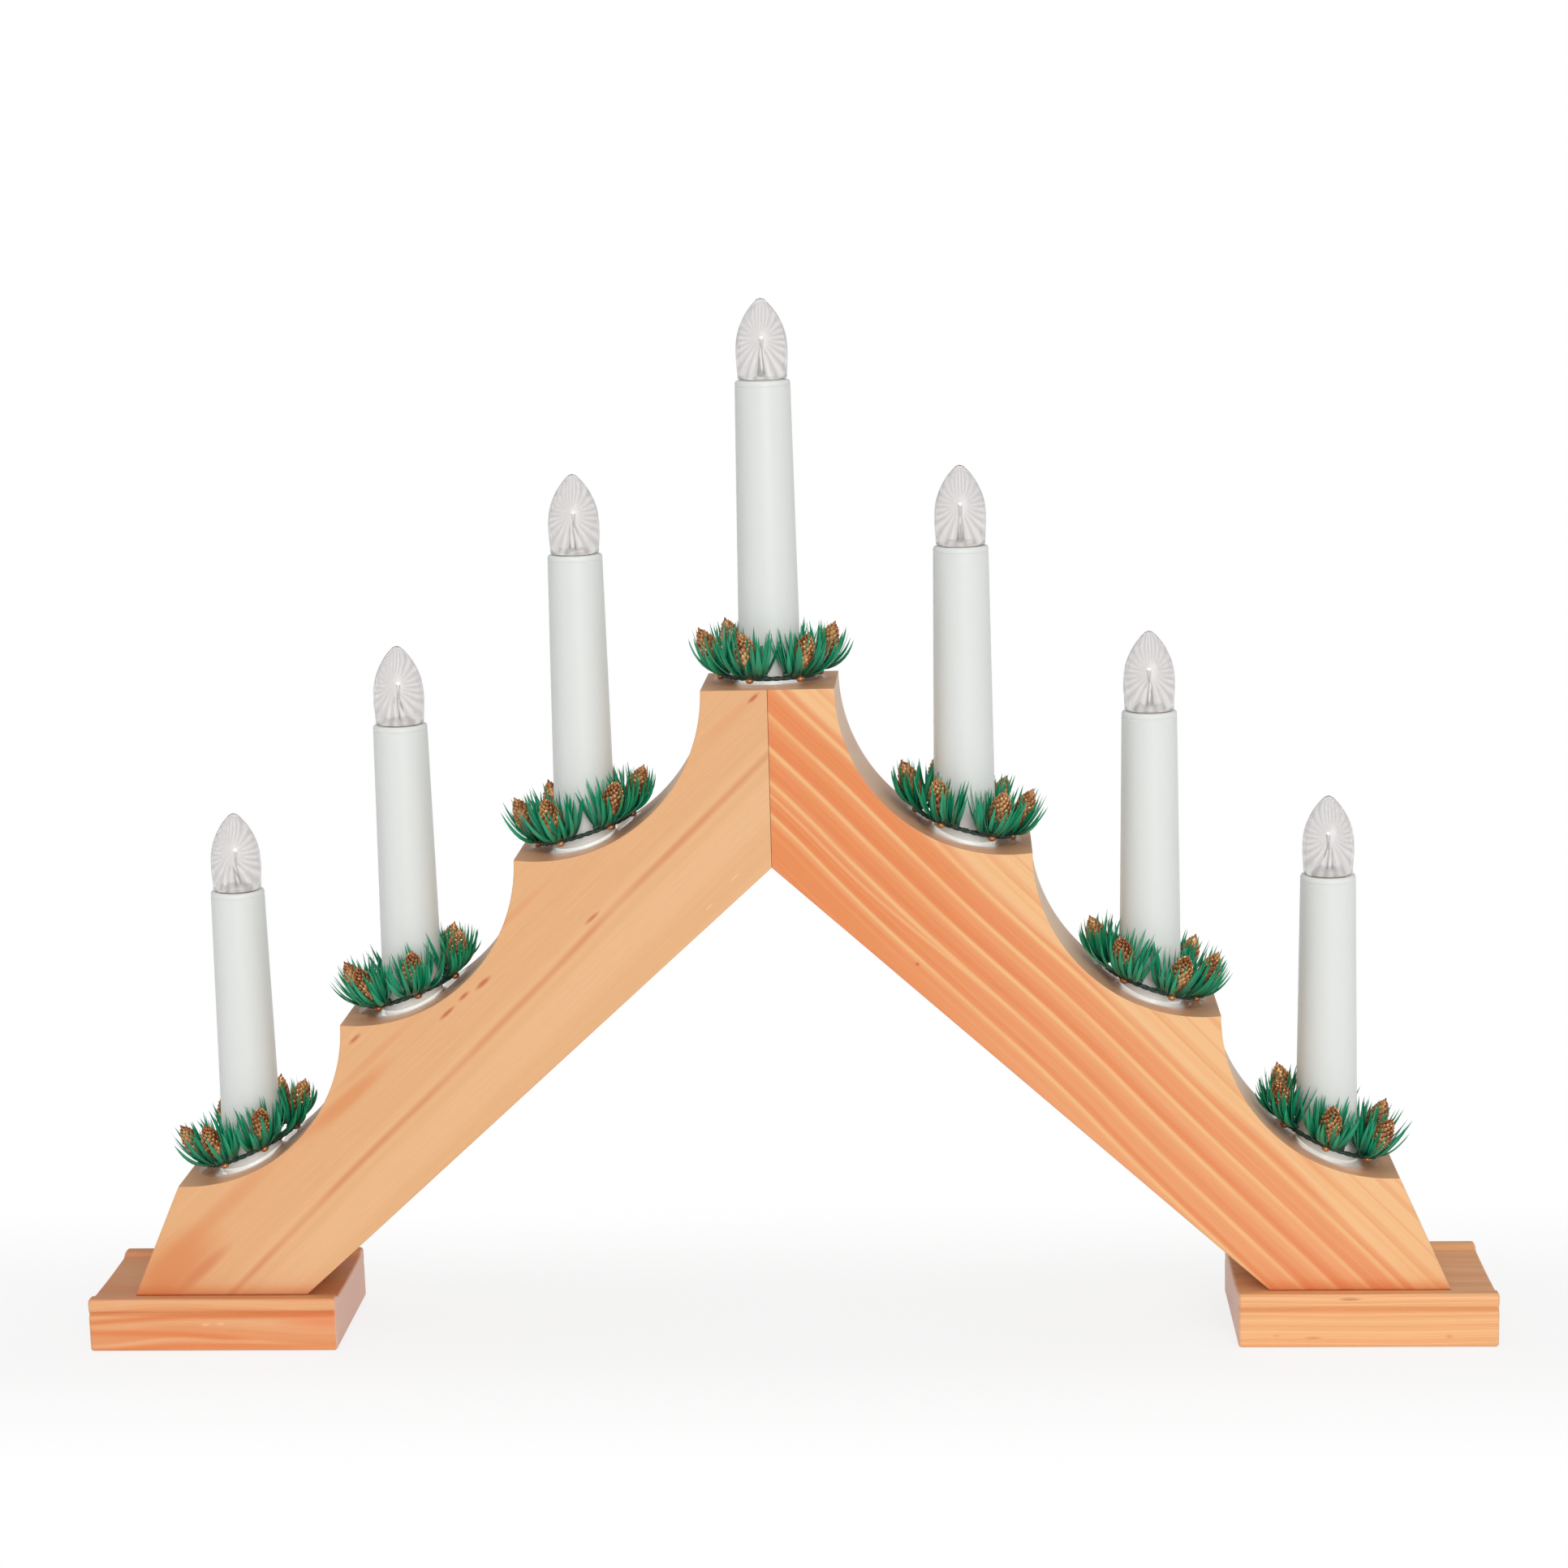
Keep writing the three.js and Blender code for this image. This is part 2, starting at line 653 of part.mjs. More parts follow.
for (let i = 0; i < candles.length - 1; i++) {
  const corners = linkCorners(candles[i], candles[i + 1]);
  addPiece(`lead_${candles[i].number}_to_${candles[i + 1].number}`, leadGeometry(corners), 'insulation');
}
addPiece('lead_feed', leadGeometry(feedCorners()), 'insulation');
addPiece('lead_return', leadGeometry(returnCorners()), 'insulation');

export default arch;
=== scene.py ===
"""Looks of an electric candle arch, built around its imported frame.

Two pine arms meet in a mitre on moulded feet. They carry seven candle tubes with screw-in
flame bulbs, clear drip discs and small fir wreaths. Builders work in millimetres, +Z up,
with the front facing -Y, and Form.mesh() brings each form to metres.
"""
import logging
import math
from dataclasses import dataclass
from enum import Enum
from typing import Callable, Iterable, Optional, Sequence, Union

import bmesh
import bpy
import numpy as np
from bpy.types import Material, Mesh, Node, NodeSocket as Socket, Object
from mathutils import Matrix, Vector


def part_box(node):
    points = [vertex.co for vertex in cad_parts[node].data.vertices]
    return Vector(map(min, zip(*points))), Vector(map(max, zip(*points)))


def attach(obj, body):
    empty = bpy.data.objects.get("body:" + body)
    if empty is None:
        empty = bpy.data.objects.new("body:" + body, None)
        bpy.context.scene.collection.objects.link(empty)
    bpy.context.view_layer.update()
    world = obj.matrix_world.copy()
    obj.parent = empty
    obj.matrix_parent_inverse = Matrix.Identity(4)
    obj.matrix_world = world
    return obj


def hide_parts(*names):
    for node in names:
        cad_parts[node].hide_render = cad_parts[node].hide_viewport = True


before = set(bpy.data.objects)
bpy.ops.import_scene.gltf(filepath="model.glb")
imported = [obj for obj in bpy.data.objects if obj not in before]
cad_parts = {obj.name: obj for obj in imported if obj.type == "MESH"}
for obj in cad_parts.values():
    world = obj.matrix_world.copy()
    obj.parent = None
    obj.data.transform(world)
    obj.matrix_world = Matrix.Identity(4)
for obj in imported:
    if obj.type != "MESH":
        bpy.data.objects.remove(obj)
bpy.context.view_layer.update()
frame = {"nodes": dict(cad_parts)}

# A millimetre in metres, and the gap where pieces seat on each other.
MM = 0.001
GAP = 0.3
LOG = logging.getLogger("candle_arch")

Colour = tuple[float, float, float]
Profile = Sequence[tuple[float, float]]
Array = np.ndarray
Waver = Callable[[Array, Array, Array], Array]
Point = tuple[float, float, float]
Input = Union[Node, Socket, Material, float, str, Sequence[float]]
Grain = Sequence[Socket]

# Outline of a flame: heights above its foot, and the radius at each.
FLAME_HEIGHTS = (0, 0.35, 1.2, 2.8, 5.0, 7.2, 9.4, 11.6, 13.8, 16.0, 18.2, 20.0, 21.1, 21.7, 21.9)
FLAME_RADII = (6.65, 6.8, 6.85, 6.95, 7.1, 7.15, 7.05, 6.75, 6.15, 5.2, 3.95, 2.55, 1.5, 0.7, 0)
# Radius of a sprig's thick root along the ring.
BASE_RADII = (0.5, 0.85, 1.0, 1.1, 1.15, 1.15, 1.15, 1.1, 1.0, 0.85, 0.5)
# Turn between two neighbours on the spiral of a cone, in degrees.
GOLDEN_ANGLE = 137.508


def srgb(red: float, green: float, blue: float) -> Colour:
    """Linear colour of an 8-bit sRGB colour."""
    shares = (channel / 255 for channel in (red, green, blue))
    return tuple(s / 12.92 if s <= 0.04045 else ((s + 0.055) / 1.055) ** 2.4 for s in shares)


class Nodes:
    """A node tree, built with short calls."""

    def __init__(self, tree: bpy.types.ID) -> None:
        """Takes the tree that the nodes are added to."""
        self.tree = tree

    def add(self, kind: str, **settings: object) -> Node:
        """Adds a node and sets its properties.

        Args:
            kind: type of the node.
            settings: its properties.
        Returns:
            The node.
        """
        node = self.tree.nodes.new(kind)
        for key, value in settings.items():
            setattr(node, key, value)
        return node

    def feed(self, socket: Socket, value: Input) -> None:
        """Links a socket to another one, or sets it to a constant.

        Args:
            socket: the input.
            value: a node, the output of a node, or a constant.
        """
        if isinstance(value, Node):
            value = next(s for s in value.outputs if s.enabled)
        if isinstance(value, Socket):
            self.tree.links.new(value, socket)
        elif socket.type == "RGBA" and len(value) == 3:
            socket.default_value = (*value, 1.0)
        else:
            socket.default_value = value

    def math(self, operation: str, *values: Input) -> Socket:
        """Adds a math node.

        Args:
            operation: what it works out.
            values: its inputs.
        Returns:
            The result.
        """
        node = self.add("ShaderNodeMath", operation=operation)
        for socket, value in zip(node.inputs, values):
            self.feed(socket, value)
        return node.outputs[0]

    def vector(self, x: Input, y: Input, z: Input) -> Socket:
        """Vector of three values.

        Args:
            x, y, z: the values.
        Returns:
            The vector.
        """
        node = self.add("ShaderNodeCombineXYZ")
        for socket, value in zip(node.inputs, (x, y, z)):
            self.feed(socket, value)
        return node.outputs[0]


class Shader(Nodes):
    """A material's node tree."""

    def __init__(self, name: str) -> None:
        """Makes the material.

        Args:
            name: the material's name.
        """
        self.material = bpy.data.materials.new(name)
        self.material.use_nodes = True
        super().__init__(self.material.node_tree)
        self.surface = self.tree.nodes["Principled BSDF"]
        self.output = self.tree.nodes["Material Output"]

    def finish(self, **values: Input) -> Material:
        """Sets inputs of the surface shader.

        Args:
            values: the inputs, by names with _ for spaces.
        Returns:
            The material.
        """
        for name, value in values.items():
            self.feed(self.surface.inputs[name.replace("_", " ")], value)
        return self.material

    def dot(self, vector: Input, direction: Sequence[float]) -> Socket:
        """Component of a vector along a direction.

        Args:
            vector: any vector.
            direction: the direction; its length scales the result.
        Returns:
            The component.
        """
        node = self.add("ShaderNodeVectorMath", operation="DOT_PRODUCT")
        self.feed(node.inputs[0], vector)
        self.feed(node.inputs[1], direction)
        return node.outputs[1]

    def place(self) -> Socket:
        """Object coordinates."""
        return self.add("ShaderNodeTexCoord").outputs["Object"]

    def facing(self, direction: Sequence[float]) -> Socket:
        """How far the surface faces along a direction, either way, from 0 to 1."""
        return self.math("ABSOLUTE",
                         self.dot(self.add("ShaderNodeTexCoord").outputs["Normal"], direction))

    def attribute(self, name: str) -> Socket:
        """Value of a mesh attribute."""
        return self.add("ShaderNodeAttribute", attribute_name=name).outputs["Fac"]

    def stretched(self, grain: Grain, x: float, y: float, z: float) -> Socket:
        """Vector of the grain's three coordinates, each scaled."""
        scaled = (self.math("MULTIPLY", part, scale) for part, scale in zip(grain, (x, y, z)))
        return self.vector(*scaled)

    def noise(self, vector: Input, scale: float = 1.0, detail: float = 2.0,
              roughness: float = 0.5) -> Socket:
        """Noise from 0 to 1 at a place.

        Args:
            vector: the place.
            scale: how fine the noise is.
            detail: number of finer layers.
            roughness: strength of the finer layers.
        Returns:
            The noise.
        """
        node = self.add("ShaderNodeTexNoise")
        self.feed(node.inputs["Vector"], vector)
        for name, value in (("Scale", scale), ("Detail", detail), ("Roughness", roughness)):
            self.feed(node.inputs[name], value)
        return node.outputs[0]

    def layer(self, value: Input, scale: float, offset: float = 0.0, detail: float = 1.0) -> Socket:
        """Noise from 0 to 1 along one value.

        Args:
            value: the value.
            scale: how fine the noise is.
            offset: where the noise starts.
            detail: number of finer layers.
        Returns:
            The noise.
        """
        node = self.add("ShaderNodeTexNoise", noise_dimensions="1D")
        self.feed(node.inputs["W"], self.math("MULTIPLY_ADD", value, scale, offset))
        self.feed(node.inputs["Scale"], 1.0)
        self.feed(node.inputs["Detail"], detail)
        return node.outputs[0]

    def smooth(self, value: Input, low: float, high: float, start: float = 0.0,
               end: float = 1.0) -> Socket:
        """Smooth step of a value.

        Args:
            value: the value.
            low, high: where the step begins and ends.
            start, end: the results there.
        Returns:
            The result.
        """
        node = self.add("ShaderNodeMapRange", interpolation_type="SMOOTHSTEP")
        for socket, number in zip(node.inputs, (value, low, high, start, end)):
            self.feed(socket, number)
        return node.outputs[0]

    def peak(self, value: Input, centre: Input, width: float) -> Socket:
        """1 at the centre, falling smoothly to 0 one width away."""
        away = self.math("ABSOLUTE", self.math("SUBTRACT", value, centre))
        return self.smooth(away, 0.0, width, 1.0, 0.0)

    def times(self, *values: Input) -> Socket:
        """Product of several values.

        Args:
            values: the factors, at least two.
        Returns:
            The product.
        """
        product = values[0]
        for value in values[1:]:
            product = self.math("MULTIPLY", product, value)
        return product

    def mix(self, factor: Input, first: Input, second: Input, blend: str = "MIX") -> Socket:
        """Mix of two colours.

        Args:
            factor: share of the second colour.
            first, second: the colours.
            blend: how they are mixed.
        Returns:
            The colour.
        """
        node = self.add("ShaderNodeMix", data_type="RGBA", blend_type=blend)
        for index, value in ((0, factor), (6, first), (7, second)):
            self.feed(node.inputs[index], value)
        return node.outputs[2]

    def bump(self, height: Input, distance: float, strength: float = 1.0) -> Socket:
        """Normal of a bumpy surface.

        Args:
            height: the relief, from 0 to 1.
            distance: height of the relief in metres.
            strength: how strongly it shows.
        Returns:
            The normal.
        """
        node = self.add("ShaderNodeBump")
        self.feed(node.inputs["Strength"], strength)
        self.feed(node.inputs["Distance"], distance)
        self.feed(node.inputs["Height"], height)
        return node.outputs[0]


class Figure(Enum):
    """How a piece of pine is figured."""

    PALE = "pale"
    STRIPED = "striped"
    MOULDED = "moulded"


@dataclass(frozen=True)
class Speck:
    """A soft-edged mark in the wood.

    Args:
        along, across: its place along and across the grain.
        length, width: its size.
        depth: how strongly it is coloured.
        tint: its colour.
    """

    along: float
    across: float
    length: float
    width: float
    depth: float = 0.8
    tint: Colour = srgb(198, 100, 62)


@dataclass(frozen=True)
class Wood:
    """Satin-lacquered pine.

    Args:
        name: the material's name.
        figure: the kind of figure.
        side: -1 where the grain falls to the left, 1 where it falls to the right.
        slope: angle of the grain below the horizontal, in degrees.
        specks: the resin marks.
        face: distance of the marked front face from the middle.
    """

    name: str
    figure: Figure
    side: int
    slope: float
    specks: tuple[Speck, ...] = ()
    face: float = 17.0

    def material(self) -> Material:
        """Builds the material.

        Returns:
            The material.
        """
        s = Shader(self.name)
        lean = math.radians(self.slope)
        place = s.place()
        grain = (
            s.dot(place, (self.side * math.cos(lean) / MM, 0, -math.sin(lean) / MM)),
            s.dot(place, (0, 1 / MM, 0)),
            s.dot(place, (self.side * math.sin(lean) / MM, 0, math.cos(lean) / MM)),
        )
        figure = {Figure.PALE: self.pale, Figure.STRIPED: self.striped,
                  Figure.MOULDED: self.moulded}
        colour = figure[self.figure](s, grain)
        fibre = s.noise(s.stretched(grain, 0.05, 1.7, 1.7), detail=3.0)
        pores = s.noise(s.stretched(grain, 0.25, 5.0, 5.0), detail=2.0)
        shade = s.math("ADD", s.smooth(fibre, 0.3, 0.7, 0.98, 1.015),
                       s.smooth(pores, 0.3, 0.7, -0.01, 0.01))
        colour = s.mix(1.0, colour, s.vector(shade, shade, shade), "MULTIPLY")
        for speck in self.specks:
            colour = self.mark(s, grain, colour, speck)
        if self.figure is Figure.MOULDED:
            end_grain = s.smooth(s.facing((1, 0, 0)), 0.5, 0.9, 0.0, 0.9)
            colour = s.mix(end_grain, colour, srgb(238, 192, 172))
        else:
            # Painted contact shade, tinted orange by light reflected from the foot, over the arms'
            # lowest 4 mm.
            joint_shade = s.smooth(s.dot(place, (0, 0, 1 / MM)), 14.4, 18.5, 0.5, 0.0)
            colour = s.mix(joint_shade, colour, srgb(218, 116, 60))
            edges = s.smooth(s.facing((0, 1, 0)), 0.1, 0.6, 0.8, 0.0)
            colour = s.mix(edges, colour, srgb(228, 196, 168))
            level = s.smooth(s.facing((0, 0, 1)), 0.55, 0.95, 0.0, 0.9)
            colour = s.mix(level, colour, srgb(226, 166, 122))
        normal = s.bump(fibre, 0.00012, 0.3)
        return s.finish(Base_Color=colour, Roughness=0.5, Coat_Weight=0.12, Coat_Roughness=0.3,
                        Normal=normal)

    def mark(self, s: Shader, grain: Grain, colour: Socket, speck: Speck) -> Socket:
        """Puts one resin mark on the wood.

        Args:
            s: the material's nodes.
            grain: coordinates along the grain, through it and across it.
            colour: the wood's colour.
            speck: the mark.
        Returns:
            The colour with the mark on it.
        """
        offsets = (
            s.math("DIVIDE", s.math("SUBTRACT", grain[0], speck.along), speck.length / 2),
            s.math("DIVIDE", s.math("ADD", grain[1], self.face), 8.0),
            s.math("DIVIDE", s.math("SUBTRACT", grain[2], speck.across), speck.width / 2),
        )
        node = s.add("ShaderNodeVectorMath", operation="LENGTH")
        s.feed(node.inputs[0], s.vector(*offsets))
        return s.mix(s.smooth(node.outputs["Value"], 0.25, 1.25, speck.depth, 0.0), colour,
                     speck.tint)

    def pale(self, s: Shader, grain: Grain) -> Socket:
        """Pale pine with one soft line and faint broad bands.

        Args:
            s: the material's nodes.
            grain: coordinates along the grain, through it and across it.
        Returns:
            The colour.
        """
        along, depth, across = grain
        wander = s.math("SUBTRACT", s.noise(s.stretched(grain, 0.012, 0.02, 0.03), detail=1.0), 0.5)
        ring = s.math("ADD", s.math("MULTIPLY_ADD", wander, 3.0, across),
                      s.math("MULTIPLY", depth, 0.04))
        drift = s.math("MULTIPLY_ADD", along, 0.0402, ring)
        colour = s.mix(s.smooth(drift, 119.0, 128.0), srgb(236, 184, 133), srgb(232, 176, 124))
        bands = s.layer(drift, 0.12, 3.0)
        colour = s.mix(s.smooth(bands, 0.35, 0.65, 0.0, 0.5), colour, srgb(228, 170, 116))
        fine = s.layer(drift, 0.75, 11.0)
        colour = s.mix(s.smooth(fine, 0.45, 0.65, 0.0, 0.12), colour, srgb(240, 190, 140))
        fade = s.smooth(s.noise(s.stretched(grain, 0.03, 0.0, 0.0), detail=1.0), 0.35, 0.6, 0.5,
                        0.85)
        return s.mix(s.times(s.peak(drift, 121.4, 1.7), fade), colour, srgb(216, 142, 88))

    def striped(self, s: Shader, grain: Grain) -> Socket:
        """Orange pine with evenly spaced thin pale lines, and a paler zone near the scallops.

        Args:
            s: the material's nodes.
            grain: coordinates along the grain, through it and across it.
        Returns:
            The colour.
        """
        along, depth, across = grain
        wander = s.math("SUBTRACT", s.noise(s.stretched(grain, 0.013, 0.02, 0.012), detail=1.0),
                        0.5)
        ring = s.math("ADD", s.math("MULTIPLY_ADD", wander, 3.5, across),
                      s.math("MULTIPLY", depth, 0.05))
        colour = s.mix(s.smooth(along, -100.0, 40.0), srgb(232, 138, 76), srgb(238, 160, 106))
        tone = s.layer(ring, 0.17, 5.0)
        colour = s.mix(s.smooth(tone, 0.35, 0.65, 0.0, 0.4), colour, srgb(230, 134, 76))
        colour = s.mix(s.smooth(ring, 131.5, 136.5, 0.0, 0.9), colour, srgb(245, 194, 138))
        turn = s.math("FRACT", s.math("DIVIDE", s.math("SUBTRACT", ring, 106.6 - 6.65 / 2), 6.65))
        zone = s.times(s.smooth(ring, 104.0, 106.0), s.smooth(ring, 139.5, 143.0, 1.0, 0.0))
        fade = s.smooth(s.noise(s.stretched((along, depth, ring), 0.02, 0.0, 0.3), detail=1.0),
                        0.35, 0.55, 0.5, 1.0)
        deep = s.times(s.smooth(turn, 0.55, 0.66), s.smooth(turn, 0.75, 1.0, 1.0, 0.0), zone, fade,
                       0.55)
        colour = s.mix(deep, colour, srgb(230, 128, 68))
        soft = s.times(s.smooth(turn, 0.1, 0.45), s.smooth(turn, 0.5, 0.56, 1.0, 0.0), zone, 0.45)
        colour = s.mix(soft, colour, srgb(242, 174, 116))
        line = s.times(s.peak(turn, 0.5, 0.15), zone, fade, 0.8)
        colour = s.mix(line, colour, srgb(245, 192, 132))
        merge = s.math("SUBTRACT", ring, s.smooth(along, -85.0, -20.0, 0.0, 2.6))
        faint = s.times(s.peak(merge, 110.6, 0.8), s.smooth(along, -30.0, -5.0, 1.0, 0.0), 0.5)
        colour = s.mix(faint, colour, srgb(246, 194, 136))
        fine = s.times(s.smooth(s.layer(ring, 0.8, 7.0), 0.48, 0.62),
                       s.smooth(ring, 137.0, 145.0, 0.1, 0.6))
        colour = s.mix(fine, colour, srgb(244, 196, 134))
        grown = s.times(s.smooth(s.layer(ring, 0.42, 21.0), 0.5, 0.66),
                        s.smooth(ring, 137.0, 145.0), 0.5)
        return s.mix(grown, colour, srgb(232, 152, 94))

    def moulded(self, s: Shader, grain: Grain) -> Socket:
        """Pine with broad orange flames on the left foot and fine straight streaks on the right.

        Args:
            s: the material's nodes.
            grain: coordinates along the foot, through it and up.
        Returns:
            The colour.
        """
        along, depth, height = grain
        left = s.smooth(along, -10.0, 10.0, 1.0, 0.0)
        wander = s.math("SUBTRACT", s.noise(s.stretched(grain, 0.016, 0.04, 0.03), detail=1.0), 0.5)
        sway = s.math("MULTIPLY", wander, s.math("MULTIPLY_ADD", left, 9.0, 3.0))
        ring = s.math("ADD", s.math("ADD", height, s.math("MULTIPLY", depth, 0.35)), sway)
        flame = s.smooth(s.layer(ring, 0.2, 2.4), 0.42, 0.6)
        calm = s.mix(flame, srgb(234, 172, 120), srgb(230, 152, 98))
        streak = s.smooth(s.layer(ring, 0.7, 6.0), 0.4, 0.62)
        straight = s.mix(streak, srgb(246, 188, 131), srgb(239, 172, 114))
        colour = s.mix(left, straight, calm)
        thin = s.times(s.smooth(s.layer(ring, 1.5, 9.0), 0.5, 0.64), 0.25)
        colour = s.mix(thin, colour, srgb(224, 142, 88))
        from_end = s.math("ADD", along, 192.0)
        streaks = ((9.0, 0.036, 1.5, 0.85), (5.4, -0.055, 1.7, 0.7), (11.6, 0.01, 1.1, 0.5),
                   (0.6, 0.02, 1.4, 0.6))
        for start, slant, width, depth_of in streaks:
            level = s.math("MULTIPLY_ADD", from_end, slant, start)
            band = s.peak(s.math("ADD", height, s.math("MULTIPLY", sway, 0.35)), level, width)
            fades = s.smooth(from_end, 30.0, 44.0, 1.0, 0.0) if slant < 0 else 1.0
            colour = s.mix(s.times(band, left, depth_of, fades), colour, srgb(224, 124, 62))
        corner = s.times(s.smooth(from_end, 42.0, 60.0), s.peak(height, 8.6, 4.2), left, 0.6)
        colour = s.mix(corner, colour, srgb(234, 128, 76))
        # Painted shade that deepens the V groove along the long sides.
        front = s.smooth(s.math("ABSOLUTE", depth), 22.0, 23.4)
        colour = s.mix(s.times(s.peak(height, 11.0, 0.9), front, 0.5), colour, srgb(210, 124, 62))
        # Painted shade: faces that look up or down turn reddish brown, more on the left foot.
        top_shade = s.times(s.smooth(s.facing((0, 0, 1)), 0.75, 0.98),
                       s.math("MULTIPLY_ADD", left, 0.15, 0.3))
        return s.mix(top_shade, colour, srgb(176, 108, 70))


@dataclass(frozen=True)
class Plastic:
    """A plain moulded plastic or lacquer.

    Args:
        name: the material's name.
        colour: its colour.
        roughness: of the surface.
        glow: share of light that scatters inside.
        metallic: share of metal in a lacquer.
    """

    name: str
    colour: Colour
    roughness: float = 0.4
    glow: float = 0.0
    metallic: float = 0.0

    def material(self) -> Material:
        """Builds the material.

        Returns:
            The material.
        """
        s = Shader(self.name)
        mottle = s.noise(s.place(), 900.0, 2.0)
        values = dict(Base_Color=self.colour, Metallic=self.metallic)
        values["Roughness"] = s.smooth(mottle, 0.3, 0.7, self.roughness - 0.05,
                                       self.roughness + 0.05)
        if self.glow:
            values.update(Subsurface_Weight=self.glow, Subsurface_Radius=(1.0, 1.0, 1.0),
                          Subsurface_Scale=0.0015)
        return s.finish(Normal=s.bump(mottle, 0.00003, 0.3), **values)


@dataclass(frozen=True)
class FlameGlass:
    """Clear moulded plastic of a flame, with painted light and shade on its facets and a painted
    darker rim where it turns away from view.
    """

    name: str = "bulb_clear"
    bright: Colour = srgb(255, 255, 253)
    dark: Colour = srgb(233, 229, 230)
    rim: Colour = srgb(214, 207, 214)

    def material(self) -> Material:
        """Builds the material.

        Returns:
            The material.
        """
        s = Shader(self.name)
        # Painted light and shade: facet ridges brighter and their hollows darker.
        colour = s.mix(s.attribute("star"), self.dark, self.bright)
        edge = s.add("ShaderNodeLayerWeight")
        # Painted shade: a darker rim where the surface turns away from view.
        colour = s.mix(s.smooth(edge.outputs["Facing"], 0.75, 1.0, 0.0, 0.7), colour, self.rim)
        clear = s.smooth(edge.outputs["Facing"], 0.72, 0.95, 0.86, 0.3)
        return s.finish(Base_Color=colour, Roughness=0.2, IOR=1.33, Transmission_Weight=clear)


@dataclass(frozen=True)
class ClearSheet:
    """Thin clear plastic: its top mirrors by the angle of view and shows what is under it, with the
    tube's reflection painted on as a pale glow.
    """

    name: str = "disc_clear"
    colour: Colour = srgb(252, 253, 253)
    # glow is the pale colour of the tube's painted reflection, and edge the near-black glow away
    # from the tube.
    glow: Colour = srgb(240, 246, 242)
    edge: Colour = srgb(20, 18, 15)

    def material(self) -> Material:
        """Builds the material.

        Returns:
            The material.
        """
        s = Shader(self.name)
        mirror = s.add("ShaderNodeFresnel")
        mirror.inputs["IOR"].default_value = 1.5
        share = s.math("MINIMUM", s.math("MULTIPLY_ADD", mirror.outputs[0], 1.75, 0.02), 0.8)
        share = s.math("MULTIPLY", share, s.smooth(s.attribute("upper"), 0.0, 1.0, 0.08, 1.0))
        # Painted reflection of the tube: where the mirror value marks the tube, the sheet mirrors
        # more and glows pale.
        share = s.math("MULTIPLY", share, s.smooth(s.attribute("mirror"), 0.0, 1.0, 0.5, 1.05))
        glow = s.mix(s.attribute("mirror"), self.edge, self.glow)
        return s.finish(Base_Color=self.colour, Metallic=1.0, Roughness=0.07, Alpha=share,
                        Emission_Color=glow, Emission_Strength=0.5)


@dataclass(frozen=True)
class StemGlass:
    """The dark clear glass of a lamp's stem."""

    name: str = "stem_glass"
    colour: Colour = srgb(196, 196, 196)

    def material(self) -> Material:
        """Builds the material."""
        return Shader(self.name).finish(Base_Color=self.colour, Roughness=0.1,
                                        Transmission_Weight=0.6)


@dataclass(frozen=True)
class NeedleGreen:
    """Glossy green needles, with painted shade at the root and painted light towards the tips."""

    name: str = "needle_green"

    def material(self) -> Material:
        """Builds the material.

        Returns:
            The material.
        """
        s = Shader(self.name)
        # Painted shade and light: darker at the root inside the sprig and lighter towards the tip,
        # with a random tone for each needle.
        share = s.math("MULTIPLY_ADD", s.attribute("shade"), 0.45,
                       s.math("MULTIPLY", s.attribute("along"), 0.8))
        colour = s.mix(s.smooth(share, 0.05, 1.0), srgb(0, 58, 43), srgb(14, 156, 110))
        return s.finish(Base_Color=colour, Roughness=0.33)


@dataclass(frozen=True)
class Copper:
    """Copper lacquer, with a painted gold highlight on the edges of the scales."""

    name: str = "cone_copper"

    def material(self) -> Material:
        """Builds the material.

        Returns:
            The material.
        """
        s = Shader(self.name)
        patch = s.smooth(s.noise(s.place(), 300.0, 2.0), 0.38, 0.62)
        dull = s.mix(patch, srgb(146, 86, 54), srgb(184, 126, 80))
        # Painted highlight: the scales' edges and tips lighten towards gold.
        highlight = s.mix(patch, srgb(180, 122, 80), srgb(226, 178, 124))
        colour = s.mix(s.attribute("painted_highlight"), dull, highlight)
        return s.finish(Base_Color=colour, Metallic=0.65, Roughness=0.32)


